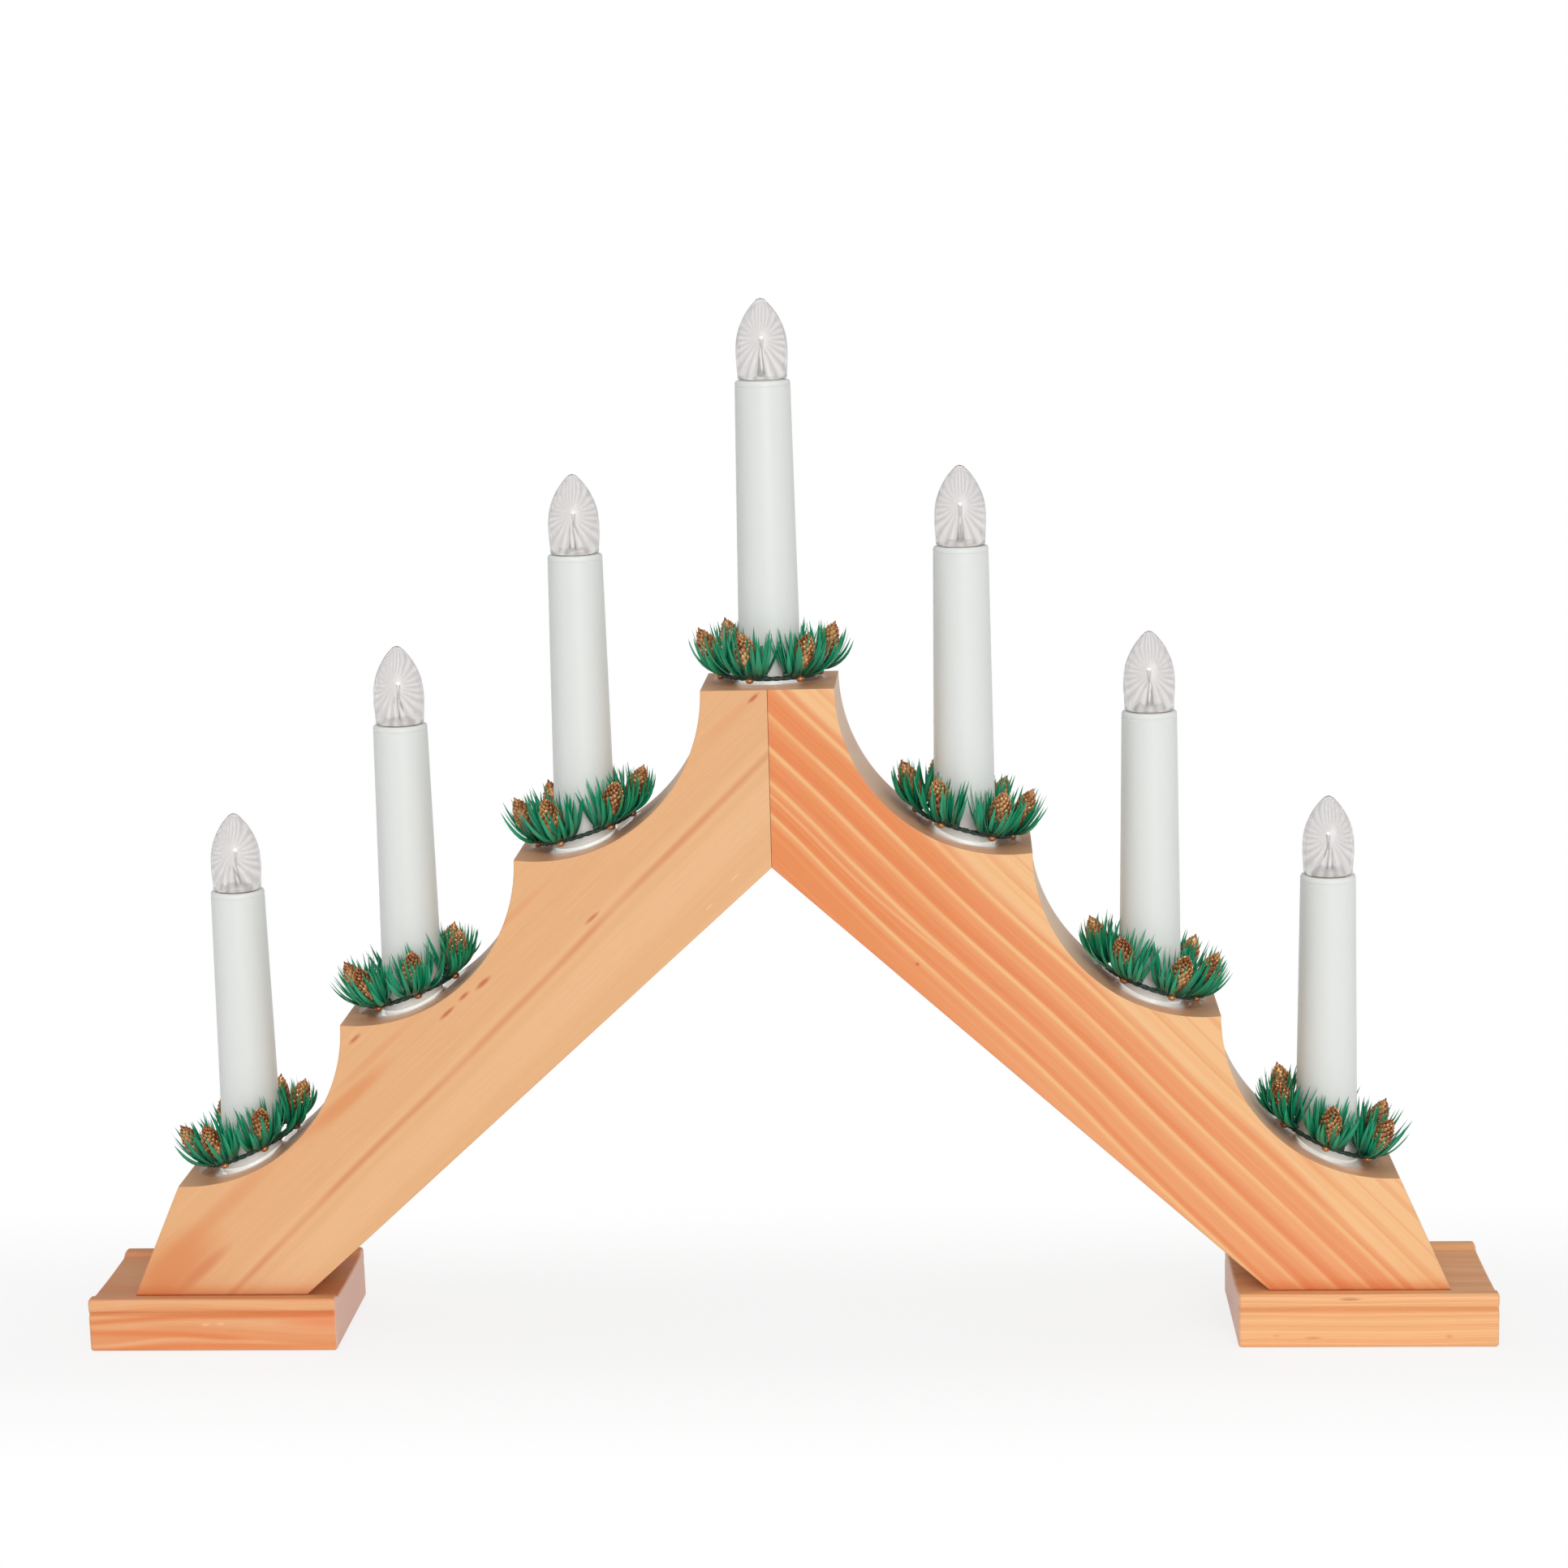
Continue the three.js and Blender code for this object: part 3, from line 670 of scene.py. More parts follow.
class Form:
    """Vertices and faces of one piece, in millimetres, with named values on its vertices."""

    def __init__(self) -> None:
        """Makes an empty form."""
        self.verts: list[Array] = []
        self.faces: list[tuple[int, ...]] = []
        self.values: dict[str, list[Array]] = {}
        self.count = 0

    def add(self, verts: Array, faces: Iterable[Sequence[int]], **values: Array) -> "Form":
        """Adds vertices, the faces on them, and their named values.

        Args:
            verts: the vertices.
            faces: each face's vertices, counted from the first new one.
            values: a number or vector for each new vertex, by name.
        Returns:
            This form.
        """
        verts = np.asarray(verts, float).reshape(-1, 3)
        self.verts.append(verts)
        self.faces.extend(tuple(int(i) + self.count for i in face) for face in faces)
        for name, numbers in values.items():
            self.values.setdefault(name, []).append(np.asarray(numbers, float))
        self.count += len(verts)
        return self

    def join(self, other: "Form", matrix: Optional[Matrix] = None) -> "Form":
        """Adds another form, turned and moved by a matrix.

        Args:
            other: the form to add.
            matrix: its place, or None to leave it where it is.
        Returns:
            This form.
        """
        verts = np.concatenate(other.verts)
        if matrix is not None:
            turn = np.array(matrix)
            verts = verts @ turn[:3, :3].T + turn[:3, 3]
        return self.add(verts, other.faces,
                        **{k: np.concatenate(v) for k, v in other.values.items()})

    def mesh(self, name: str, outward: bool = True) -> Mesh:
        """Makes a mesh in metres.

        Args:
            name: the mesh's name.
            outward: whether its normals are turned outward.
        Returns:
            The mesh.
        """
        mesh = bpy.data.meshes.new(name)
        mesh.from_pydata((np.concatenate(self.verts) * MM).tolist(), [], self.faces)
        for key, parts in self.values.items():
            numbers = np.concatenate(parts)
            kind, field = ("FLOAT_VECTOR", "vector") if numbers.ndim == 2 else ("FLOAT", "value")
            mesh.attributes.new(key, kind, "POINT").data.foreach_set(field, numbers.ravel())
        if outward:
            work = bmesh.new()
            work.from_mesh(mesh)
            bmesh.ops.recalc_face_normals(work, faces=work.faces)
            work.to_mesh(mesh)
            work.free()
        return mesh

    def piece(self, name: str, material: Material, sharp: float = 35.0) -> Object:
        """An object with this form, shaded smooth up to an angle in degrees."""
        return show(self.mesh(name), name, material, sharp)


def show(mesh: Mesh, name: str, material: Material, sharp: float = 35.0) -> Object:
    """Links an object with a mesh, its material and its smooth shading.

    Args:
        mesh: the mesh.
        name: the object's name.
        material: the material, where the mesh has none.
        sharp: the angle up to which edges are shaded smooth, in degrees.
    Returns:
        The object.
    """
    if not mesh.materials:
        mesh.materials.append(material)
    mesh.shade_smooth()
    mesh.set_sharp_from_angle(angle=math.radians(sharp))
    return linked(name, mesh)


def linked(name: str, data: bpy.types.ID) -> Object:
    """Adds an object to the scene.

    Args:
        name: its name.
        data: its mesh, camera or light.
    Returns:
        The object.
    """
    obj = bpy.data.objects.new(name, data)
    bpy.context.scene.collection.objects.link(obj)
    return obj


def baked(obj: Object, name: str) -> Mesh:
    """Applies the modifiers of an object and removes the object.

    Args:
        obj: the object.
        name: the new mesh's name.
    Returns:
        The mesh.
    """
    graph = bpy.context.evaluated_depsgraph_get()
    mesh = bpy.data.meshes.new_from_object(obj.evaluated_get(graph), depsgraph=graph)
    mesh.name = name
    bpy.data.objects.remove(obj)
    return mesh


def settle(obj: Object, body: str, slot: Optional[str] = None, *nodes: str) -> Object:
    """Rides a piece on a body and hides the nodes it stands for.

    Args:
        obj: the piece.
        body: the body it moves with.
        slot: not used.
        nodes: the nodes that it replaces.
    Returns:
        The piece.
    """
    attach(obj, body)
    if nodes:
        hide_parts(*nodes)
    return obj


def lathe(profile: Profile, sides: int, x: float = 0.0, y: float = 0.0,
          wave: Optional[Waver] = None) -> Form:
    """A form of revolution about a vertical axis.

    Args:
        profile: radius and height of each ring; a closed loop repeats its first point.
        sides: number of segments round the axis.
        x, y: place of the axis.
        wave: gives new radii from radii, heights and angles.
    Returns:
        The form.
    """
    looped = profile[0] == profile[-1]
    rings = list(profile[:-1] if looped else profile)
    angles = np.linspace(0, 2 * math.pi, sides, endpoint=False)
    verts, starts = [], []
    for radius, height in rings:
        starts.append((len(verts), radius < 1e-9))
        if radius < 1e-9:
            verts.append((x, y, height))
            continue
        radii = np.full(sides, radius)
        if wave is not None:
            radii = wave(radii, np.full(sides, height), angles)
        verts.extend(zip(x + radii * np.cos(angles), y + radii * np.sin(angles),
                         np.full(sides, height)))
    faces = []
    pairs = list(zip(range(len(rings) - 1), range(1, len(rings))))
    if looped:
        pairs.append((len(rings) - 1, 0))
    for low, high in pairs:
        (a, a_pole), (b, b_pole) = starts[low], starts[high]
        ring = band(a, b, sides)
        if a_pole and b_pole:
            ring = []
        elif a_pole:
            ring = [(a, *face[2:]) for face in ring]
        elif b_pole:
            ring = [(*face[:2], b) for face in ring]
        faces += ring
    return Form().add(np.array(verts), faces)


def band(low: int, high: int, count: int) -> list[tuple[int, ...]]:
    """Faces between two rings of vertices, each ring given by its first vertex."""
    ends = zip(range(count), (*range(1, count), 0))
    return [(low + i, low + j, high + j, high + i) for i, j in ends]


def drill(radius: float, low: float, high: float, sides: int, x: float = 0.0,
          y: float = 0.0) -> Form:
    """A round cutter from a low to a high end."""
    return lathe([(0, low), (radius, low), (radius, high), (0, high)], sides, x, y)


def inset(outline: Array, amount: float) -> Array:
    """Moves a closed outline inward.

    Args:
        outline: its points, counter-clockwise.
        amount: how far.
    Returns:
        The new points.
    """
    before = outline - np.roll(outline, 1, 0)
    after = np.roll(outline, -1, 0) - outline
    before /= np.linalg.norm(before, axis=1)[:, None]
    after /= np.linalg.norm(after, axis=1)[:, None]
    normal_a = np.stack([-before[:, 1], before[:, 0]], 1)
    normal_b = np.stack([-after[:, 1], after[:, 0]], 1)
    middle = normal_a + normal_b
    middle /= np.maximum(np.sum(middle * normal_a, 1), 0.2)[:, None]
    return outline + middle * amount


def prism(outline: Array, low: float, high: float, edge: float, rounds: int = 4) -> Form:
    """An outline in X and Y carried along Z, with rounded rims.

    Args:
        outline: points, counter-clockwise.
        low, high: the two ends.
        edge: radius of the rims.
        rounds: rings on each rim.
    Returns:
        The form.
    """
    stations = []
    for k in range(rounds + 1):
        turn = 0.5 * math.pi * k / rounds
        stations.append((edge * (1 - math.sin(turn)), low + edge * (1 - math.cos(turn))))
    for k in range(rounds + 1):
        turn = 0.5 * math.pi * (1 - k / rounds)
        stations.append((edge * (1 - math.sin(turn)), high - edge * (1 - math.cos(turn))))
    if edge == 0:
        stations = [(0, low), (0, high)]
    count = len(outline)
    verts = [np.column_stack([inset(outline, amount), np.full(count, z)]) for amount, z in stations]
    faces = [tuple(range(count))[::-1],
             tuple(range((len(stations) - 1) * count, len(stations) * count))]
    for ring in range(len(stations) - 1):
        faces += band(ring * count, (ring + 1) * count, count)
    return Form().add(np.concatenate(verts), faces)


def sweep(points: Array, radii: Sequence[float], sides: int, closed: bool = False) -> Form:
    """A round tube along points, with a radius at each point and flat ends unless it is closed.

    Args:
        points: the route.
        radii: radius at each point.
        sides: number of segments round the tube.
        closed: whether the last point joins the first.
    Returns:
        The form.
    """
    points = np.asarray(points, float)
    if closed:
        tangents = np.roll(points, -1, 0) - np.roll(points, 1, 0)
    else:
        tangents = np.gradient(points, axis=0)
    tangents /= np.linalg.norm(tangents, axis=1)[:, None]
    start = np.array([0.0, 1.0, 0.0]) if abs(tangents[0][1]) < 0.9 else np.array([1.0, 0.0, 0.0])
    angles = np.linspace(0, 2 * math.pi, sides, endpoint=False)
    verts = []
    for point, tangent, radius in zip(points, tangents, radii):
        start = start - tangent * np.dot(start, tangent)
        start /= np.linalg.norm(start)
        other = np.cross(tangent, start)
        verts.append(point + radius
                     * (np.outer(np.cos(angles), start) + np.outer(np.sin(angles), other)))
    faces = []
    rings = len(points)
    for ring in range(rings if closed else rings - 1):
        faces += band(ring * sides, (ring + 1) % rings * sides, sides)
    if not closed:
        faces.append(tuple(range(sides))[::-1])
        faces.append(tuple(range((rings - 1) * sides, rings * sides)))
    return Form().add(np.concatenate(verts), faces)


def arc(x: float, z: float, radius: float, start: float, end: float, steps: int) -> Array:
    """Points on an arc, both ends included, with angles in radians."""
    turn = np.linspace(start, end, steps + 1)
    return np.column_stack([x + radius * np.cos(turn), z + radius * np.sin(turn)])


def cut(form: Form, cutters: Sequence[Form], name: str, material: Material) -> Object:
    """A piece with forms cut out of it, and shading that keeps its flat faces flat.

    Args:
        form: the blank.
        cutters: what is cut away.
        name: the piece's name.
        material: its material.
    Returns:
        The piece.
    """
    body = linked(f"{name}_blank", form.mesh(name))
    tools = []
    for index, cutter in enumerate(cutters):
        tool = linked(f"{name}_cutter_{index}", cutter.mesh(f"{name}_cutter_{index}"))
        modifier = body.modifiers.new(f"cut_{index}", "BOOLEAN")
        modifier.operation, modifier.solver, modifier.object = "DIFFERENCE", "EXACT", tool
        tools.append(tool)
    mesh = baked(body, name)
    for tool in tools:
        bpy.data.objects.remove(tool)
    mesh.materials.clear()
    smooth = show(mesh, f"{name}_smooth", material, 28.0)
    weighted = smooth.modifiers.new("weighted", "WEIGHTED_NORMAL")
    weighted.keep_sharp = True
    weighted.weight = 100
    return linked(name, baked(smooth, name))


@dataclass(frozen=True)
class Ledge:
    """One ledge of an arm.

    Args:
        corner: its outer corner, in X.
        height: its height.
        centre, top: axis of its scallop in X and Z, level with the ledge above.
        candle: place of its candle in X.
    """

    corner: float
    height: float
    centre: float
    top: float
    candle: float


@dataclass(frozen=True)
class ArchLayout:
    """The arch's driving sizes, in millimetres."""

    thickness: float = 34.0
    top: float = 188.0
    half_width: float = 18.5
    mitre: float = 50.0
    steps: int = 3
    scallop: float = 47.2
    first_run: float = 53.6
    run_loss: float = 2.1
    slope: float = 42.0
    flare: float = 24.0
    inset: float = 18.5
    bottom: float = 14.43
    socket: float = 14.0
    hole: float = 4.0
    groove: float = 5.0
    tube_rise: float = 83.5
    holder_depth: float = 24.3
    screw_inset: float = 7.0
    dowel_inset: float = 5.0
    lead_radius: float = 0.8

    @property
    def ledges(self) -> list[Ledge]:
        """The ledges from the top one outwards.

        Returns:
            The ledges.
        """
        found = [Ledge(self.half_width, self.top, 0.0, self.top, 0.0)]
        for step in range(self.steps):
            upper = found[-1]
            run = self.first_run - self.run_loss * step
            height = upper.height - math.sqrt(self.scallop**2 - (run - self.scallop) ** 2)
            corner = upper.corner + run
            found.append(Ledge(corner, height, upper.corner + self.scallop, upper.height,
                               corner - self.inset))
        return found

    @property
    def apex(self) -> float:
        """Height of the underside at the mitre."""
        return self.top - self.mitre

    @property
    def end(self) -> float:
        """How far out the arm reaches at its foot."""
        last = self.ledges[-1]
        return last.corner + (last.height - self.bottom) * math.tan(math.radians(self.flare))

    @property
    def heel(self) -> float:
        """Where the underside meets the foot."""
        return (self.apex - self.bottom) / math.tan(math.radians(self.slope))

    @property
    def screw(self) -> tuple[float, float]:
        """Distance of a foot screw from the middle, in X and in Y."""
        return (self.heel + self.end) / 2, self.thickness / 2 - self.screw_inset

    def inlet(self, last: Ledge) -> float:
        """Height of the lead inlet, halfway between the groove and the last socket."""
        return (self.bottom + self.groove + last.height - self.socket - GAP) / 2

    def underside(self, x: float, inward: float = 0.0) -> float:
        """Height of the underside, moved into the wood by an amount square to it."""
        lean = math.radians(self.slope)
        return self.apex - math.tan(lean) * abs(x) + inward / math.cos(lean)


@dataclass(frozen=True)
class Place:
    """A candle's number from the left, its side, its ledge and its axis."""

    number: int
    side: int
    ledge: Ledge
    x: float


class Finishes:
    """Every material of the arch, made once."""

    def __init__(self) -> None:
        """Makes the materials."""
        orange, reddish = srgb(222, 138, 82), srgb(214, 118, 72)
        left_marks = (
            Speck(42.0, 135.8, 36.0, 5.0, 0.65, orange),
            Speck(54.0, 137.2, 30.0, 4.0, 0.35, orange),
            Speck(116.0, 134.5, 38.0, 17.0, 0.85, orange),
            Speck(109.0, 128.5, 24.0, 4.0, 0.55, reddish),
            Speck(96.0, 137.5, 60.0, 6.0, 0.45, orange),
            Speck(-30.0, 142.2, 34.0, 2.4, 0.35, orange),
            Speck(28.0, 139.8, 40.0, 2.6, 0.35, orange),
            Speck(-112.0, 141.0, 26.0, 3.0, 0.25, orange),
            Speck(-121.4, 140.6, 4.4, 1.3, 0.9), Speck(-45.7, 126.4, 6.0, 1.3, 0.75),
            Speck(-10.0, 133.9, 6.2, 1.6, 0.9), Speck(-3.3, 134.9, 4.4, 1.3, 0.9),
            Speck(3.6, 134.6, 6.4, 1.3, 0.9), Speck(28.3, 147.1, 5.0, 1.3, 0.8),
            Speck(-83.0, 107.6, 4.0, 0.7, 0.5, srgb(246, 208, 164)),
            Speck(-72.0, 106.4, 3.0, 0.7, 0.5, srgb(246, 208, 164)),
        )
        right_marks = (
            Speck(-50.6, 105.6, 1.4, 1.2, 0.8, srgb(206, 78, 84)),
            Speck(116.0, 124.0, 26.0, 5.0, 0.3, reddish),
            Speck(58.0, 136.9, 60.0, 3.4, 0.5, srgb(230, 132, 72)),
            Speck(66.0, 141.6, 40.0, 2.0, 0.3, srgb(232, 140, 80)),
        )
        foot_marks = (
            Speck(148.6, 2.9, 6.0, 1.0, 0.7, orange),
            Speck(158.7, 14.2, 7.0, 1.0, 0.7, srgb(186, 106, 68)),
            Speck(186.2, 3.2, 2.4, 1.6, 0.5, orange),
            Speck(138.4, 3.6, 2.6, 0.8, 0.45, orange),
            Speck(-165.8, 8.0, 2.6, 1.0, 0.6, srgb(246, 198, 150)),
            Speck(-161.4, 8.2, 2.6, 1.0, 0.6, srgb(246, 198, 150)),
        )
        self.pine_left = Wood("pine_left", Figure.PALE, -1, 42.0, left_marks).material()
        self.pine_right = Wood("pine_right", Figure.STRIPED, 1, 45.5, right_marks).material()
        self.pine_foot = Wood("pine_foot", Figure.MOULDED, 1, 0.0, foot_marks, 23.4).material()
        self.candle = Plastic("candle_plastic", srgb(229, 232, 229), 0.38, 0.25).material()
        self.holder = Plastic("holder_plastic", srgb(216, 212, 200), 0.5).material()
        self.brass = Plastic("cap_brass", srgb(212, 176, 108), 0.3, metallic=1.0).material()
        self.solder = Plastic("solder", srgb(196, 198, 200), 0.4, metallic=0.9).material()
        self.flame = FlameGlass().material()
        self.stem = StemGlass().material()
        self.disc = ClearSheet().material()
        self.plug = Plastic("lamp_plug", srgb(226, 224, 222), 0.4, 0.2).material()
        self.wires = Plastic("lamp_wires", srgb(96, 94, 92), 0.4, metallic=0.8).material()
        self.needles = NeedleGreen().material()
        self.copper = Copper().material()
        self.wire = Plastic("ring_wire", srgb(8, 46, 38), 0.45).material()
        self.steel = Plastic("screw_steel", srgb(190, 193, 197), 0.32, metallic=1.0).material()
        self.beech = Plastic("beech", srgb(212, 184, 148), 0.6).material()
        self.insulation = Plastic("lead_insulation", srgb(232, 232, 228), 0.45).material()
        glow = Shader("filament")
        self.filament = glow.finish(Base_Color=(1, 1, 1), Emission_Color=(1.0, 0.97, 0.9),
                                    Emission_Strength=1.1)


@dataclass(frozen=True)
class Arm:
    """One scalloped arm with its candle sockets, wire holes and groove."""

    layout: ArchLayout
    finishes: Finishes
    side: int
    edge: float = 0.35
    mitre_edge: float = 0.12
    mitre_gap: float = 0.03
    arc_steps: int = 56
    socket_radius: float = 9.0
    dowel_bore: float = 3.3
    dowel_reach: float = 16.3
    dowel_rise: float = 20.0
    pilot_radius: float = 2.3
    pilot_top: float = 27.3
    inlet_radius: float = 3.5
    inlet_depth: float = 18.0

    def outline(self) -> Array:
        """Draws the right arm's outline in X and Z.

        Returns:
            Its points, counter-clockwise.
        """
        at = self.layout
        points = [[(self.mitre_gap, at.apex), (at.heel, at.bottom), (at.end, at.bottom)]]
        for ledge in reversed(at.ledges[1:]):
            start = math.atan2(ledge.height - ledge.top, ledge.corner - ledge.centre)
            points.append(arc(ledge.centre, ledge.top, at.scallop, start, -math.pi, self.arc_steps))
        points.append([(self.mitre_gap, at.top)])
        line = np.concatenate([np.asarray(p, float) for p in points])
        return line[np.linalg.norm(line - np.roll(line, 1, 0), axis=1) > 1e-6]

    def groove_cutter(self) -> Form:
        """The wire groove along the underside and under the foot end.

        Returns:
            The cutter.
        """
        at = self.layout
        roof = at.bottom + at.groove
        lean = math.radians(at.slope)
        knee = (at.apex + at.groove / math.cos(lean) - roof) / math.tan(lean)
        outer = max(at.ledges[-1].candle + at.hole, knee + at.groove)
        start = at.apex + math.tan(lean)
        outline = [(-1, start + at.groove / math.cos(lean)), (-1, start - 1 / math.cos(lean)),
                   (at.heel - 1, at.bottom - 1), (outer, at.bottom - 1), (outer, roof),
                   (knee, roof)]
        return upright(prism(np.array(outline, float), -at.groove / 2, at.groove / 2, 0))

    def cutters(self) -> list[Form]:
        """Makes sockets, wire holes, groove, dowel holes, pilot holes and the lead inlet.

        Returns:
            The cutters of a right arm.
        """
        at = self.layout
        screw_x, screw_y = at.screw
        dowel_y = at.thickness / 2 - at.dowel_inset
        over = at.top + 1
        found = [self.groove_cutter()]
        for ledge in at.ledges:
            seat = ledge.height - at.socket - GAP
            floor = max(at.underside(ledge.candle + at.hole), at.bottom) - 1
            steps = [(0, floor), (at.hole, floor), (at.hole, seat), (self.socket_radius, seat)]
            found.append(lathe(steps + [(self.socket_radius, over), (0, over)], 64, ledge.candle))
        for front in (-1, 1):
            bore = drill(self.dowel_bore, -self.dowel_reach, self.dowel_reach, 32)
            place = Matrix.Translation((0, front * dowel_y, at.apex + self.dowel_rise))
            found.append(Form().join(bore, place @ Matrix.Rotation(math.pi / 2, 4, "Y")))
            found.append(drill(self.pilot_radius, at.bottom - 1, self.pilot_top, 32, screw_x,
                               front * screw_y))
        if self.side < 0:
            last = at.ledges[-1]
            bore = drill(self.inlet_radius, 0, self.inlet_depth, 40)
            place = Matrix.Translation((last.candle, 0, at.inlet(last)))
            found.append(Form().join(bore, place @ Matrix.Rotation(-math.pi / 2, 4, "X")))
        return found

    def build(self) -> None:
        """Builds the arm in place of its node."""
        at = self.layout
        name = "arm_right" if self.side > 0 else "arm_left"
        blank = prism(self.outline(), -at.thickness / 2, at.thickness / 2, self.edge)
        across = blank.verts[0][:, 0]
        joint = across < self.mitre_gap + self.edge + 1e-6
        narrowed = (across[joint] - self.mitre_gap) * self.mitre_edge / self.edge
        across[joint] = self.mitre_gap + narrowed
        blank = upright(blank)
        cutters = self.cutters()
        if self.side < 0:
            mirror = Matrix.Diagonal((-1, 1, 1, 1))
            blank = Form().join(blank, mirror)
            cutters = [Form().join(cutter, mirror) for cutter in cutters]
        material = self.finishes.pine_right if self.side > 0 else self.finishes.pine_left
        obj = cut(blank, cutters, f"{name}_timber", material)
        settle(obj, "arch", "pine_striped" if self.side > 0 else "pine_light", name)


def upright(form: Form) -> Form:
    """Turns a form drawn in X and Y and carried along Z so that it is drawn in X and Z."""
    return Form().join(form, Matrix.Rotation(math.pi / 2, 4, "X"))


@dataclass(frozen=True)
class Foot:
    """A moulded foot with a lip, a cove and a V groove on each long side."""

    layout: ArchLayout
    finishes: Finishes
    side: int
    height: float = 15.5
    lip: float = 3.4
    cove: float = 1.15
    dip: float = 0.25
    edge: float = 1.3
    low_edge: float = 0.8
    end_edge: float = 0.9
    cove_run: float = 3.0
    vee_drop: float = 4.4
    vee_half: float = 1.1
    vee_depth: float = 0.75

    def section(self, half: float) -> Array:
        """Draws the cross-section in Y and Z.

        Args:
            half: half the foot's depth.
        Returns:
            Its points, counter-clockwise.
        """
        vee = self.height - self.vee_drop
        floor = self.height - self.cove
        wall = ((0, self.vee_half), (0.15, 0.85), (self.vee_depth, 0.15))
        right = np.concatenate([
            arc(half - self.low_edge, self.low_edge, self.low_edge, -math.pi / 2, 0, 5),
            np.array([(half - depth, vee - rise) for depth, rise in wall]),
            np.array([(half - depth, vee + rise) for depth, rise in reversed(wall)]),
            arc(half - self.edge, self.height - self.edge, self.edge, 0, math.pi / 2, 7),
        ])
        lip_in = half - self.lip
        turn = np.linspace(0, math.pi, 9)
        slope = np.column_stack([lip_in - self.cove_run * turn / math.pi,
                                 self.height - self.cove * (1 - np.cos(turn)) / 2])
        inner = lip_in - self.cove_run
        y = np.linspace(inner, 0, 9)[1:]
        hollow = np.column_stack([y, floor - self.dip * (1 - (y / inner) ** 2)])
        right = np.concatenate([right, slope, hollow])
        left = right[:-1][::-1] * np.array([-1, 1])
        return np.concatenate([right, left])

    def build(self) -> None:
        """Builds the foot in place of its node."""
        name = "foot_right" if self.side > 0 else "foot_left"
        low, high = (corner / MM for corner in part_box(name))
        blank = prism(self.section(high.y), low.x, high.x, self.end_edge)
        blank = Form().join(blank, Matrix(((0, 0, 1, 0), (1, 0, 0, 0), (0, 1, 0, 0), (0, 0, 0, 1))))
        screw_x, screw_y = self.layout.screw
        bore = [(0, -1), (4.3, -1), (4.3, 1.3), (2.3, 3.7), (2.3, self.height + 1),
                (0, self.height + 1)]
        cutters = [lathe(bore, 40, self.side * screw_x, front * screw_y) for front in (-1, 1)]
        settle(cut(blank, cutters, f"{name}_moulding", self.finishes.pine_foot), "arch",
               "pine_foot", name)


@dataclass(frozen=True)
class WoodScrew:
    """A countersunk screw with a cross recess and a thread."""

    finishes: Finishes
    head: float = 4.0
    shank: float = 2.0
    pitch: float = 1.8
    plain: float = 9.0
    point: float = 3.0
    core: float = 0.72

    def build(self, node: str) -> None:
        """Builds the screw in place of its node.

        Args:
            node: the screw's node.
        """
        low, high = (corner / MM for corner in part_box(node))
        x, y = (low.x + high.x) / 2, (low.y + high.y) / 2
        base, top = low.z, high.z
        smooth_end = base + self.plain
        heights = np.arange(smooth_end, top - self.point, 0.2)

        def thread(radii: Array, levels: Array, angles: Array) -> Array:
            """Cuts the thread into the shank, for lathe().

            Args:
                radii, levels, angles: radii, heights and angles of one ring.
            Returns:
                The new radii.
            """
            turn = (levels - smooth_end) / self.pitch - angles / (2 * math.pi)
            ridge = np.clip(1 - np.abs((turn % 1) - 0.5) * 4.2, 0, 1)
            cutting = (levels > smooth_end) & (levels < top - 1)
            crest = 0.28 * self.shank * ridge * np.clip((top - levels) / 4, 0, 1)
            return np.where(cutting, radii * self.core + crest, radii)

        profile = [(0, base), (self.head - 0.25, base), (self.head, base + 0.25),
                   (self.shank, base + 2.4)]
        profile += [(self.shank, smooth_end - 0.2)] + [(self.shank, h) for h in heights]
        profile += [(self.shank * f, top - self.point + self.point * (1 - f))
                    for f in (0.8, 0.6, 0.4, 0.2)]
        profile.append((0, top))
        form = lathe(profile, 32, x, y, thread)
        slot = prism(np.array([(-2.3, -0.45), (2.3, -0.45), (2.3, 0.45), (-2.3, 0.45)]), -1, 1.5, 0)
        arms = []
        for turn in (0.25, 0.75):
            place = Matrix.Translation((x, y, base)) @ Matrix.Rotation(turn * math.pi, 4, "Z")
            arms.append(Form().join(slot, place))
        settle(cut(form, arms, f"{node}_steel", self.finishes.steel), "arch", "screw_steel", node)


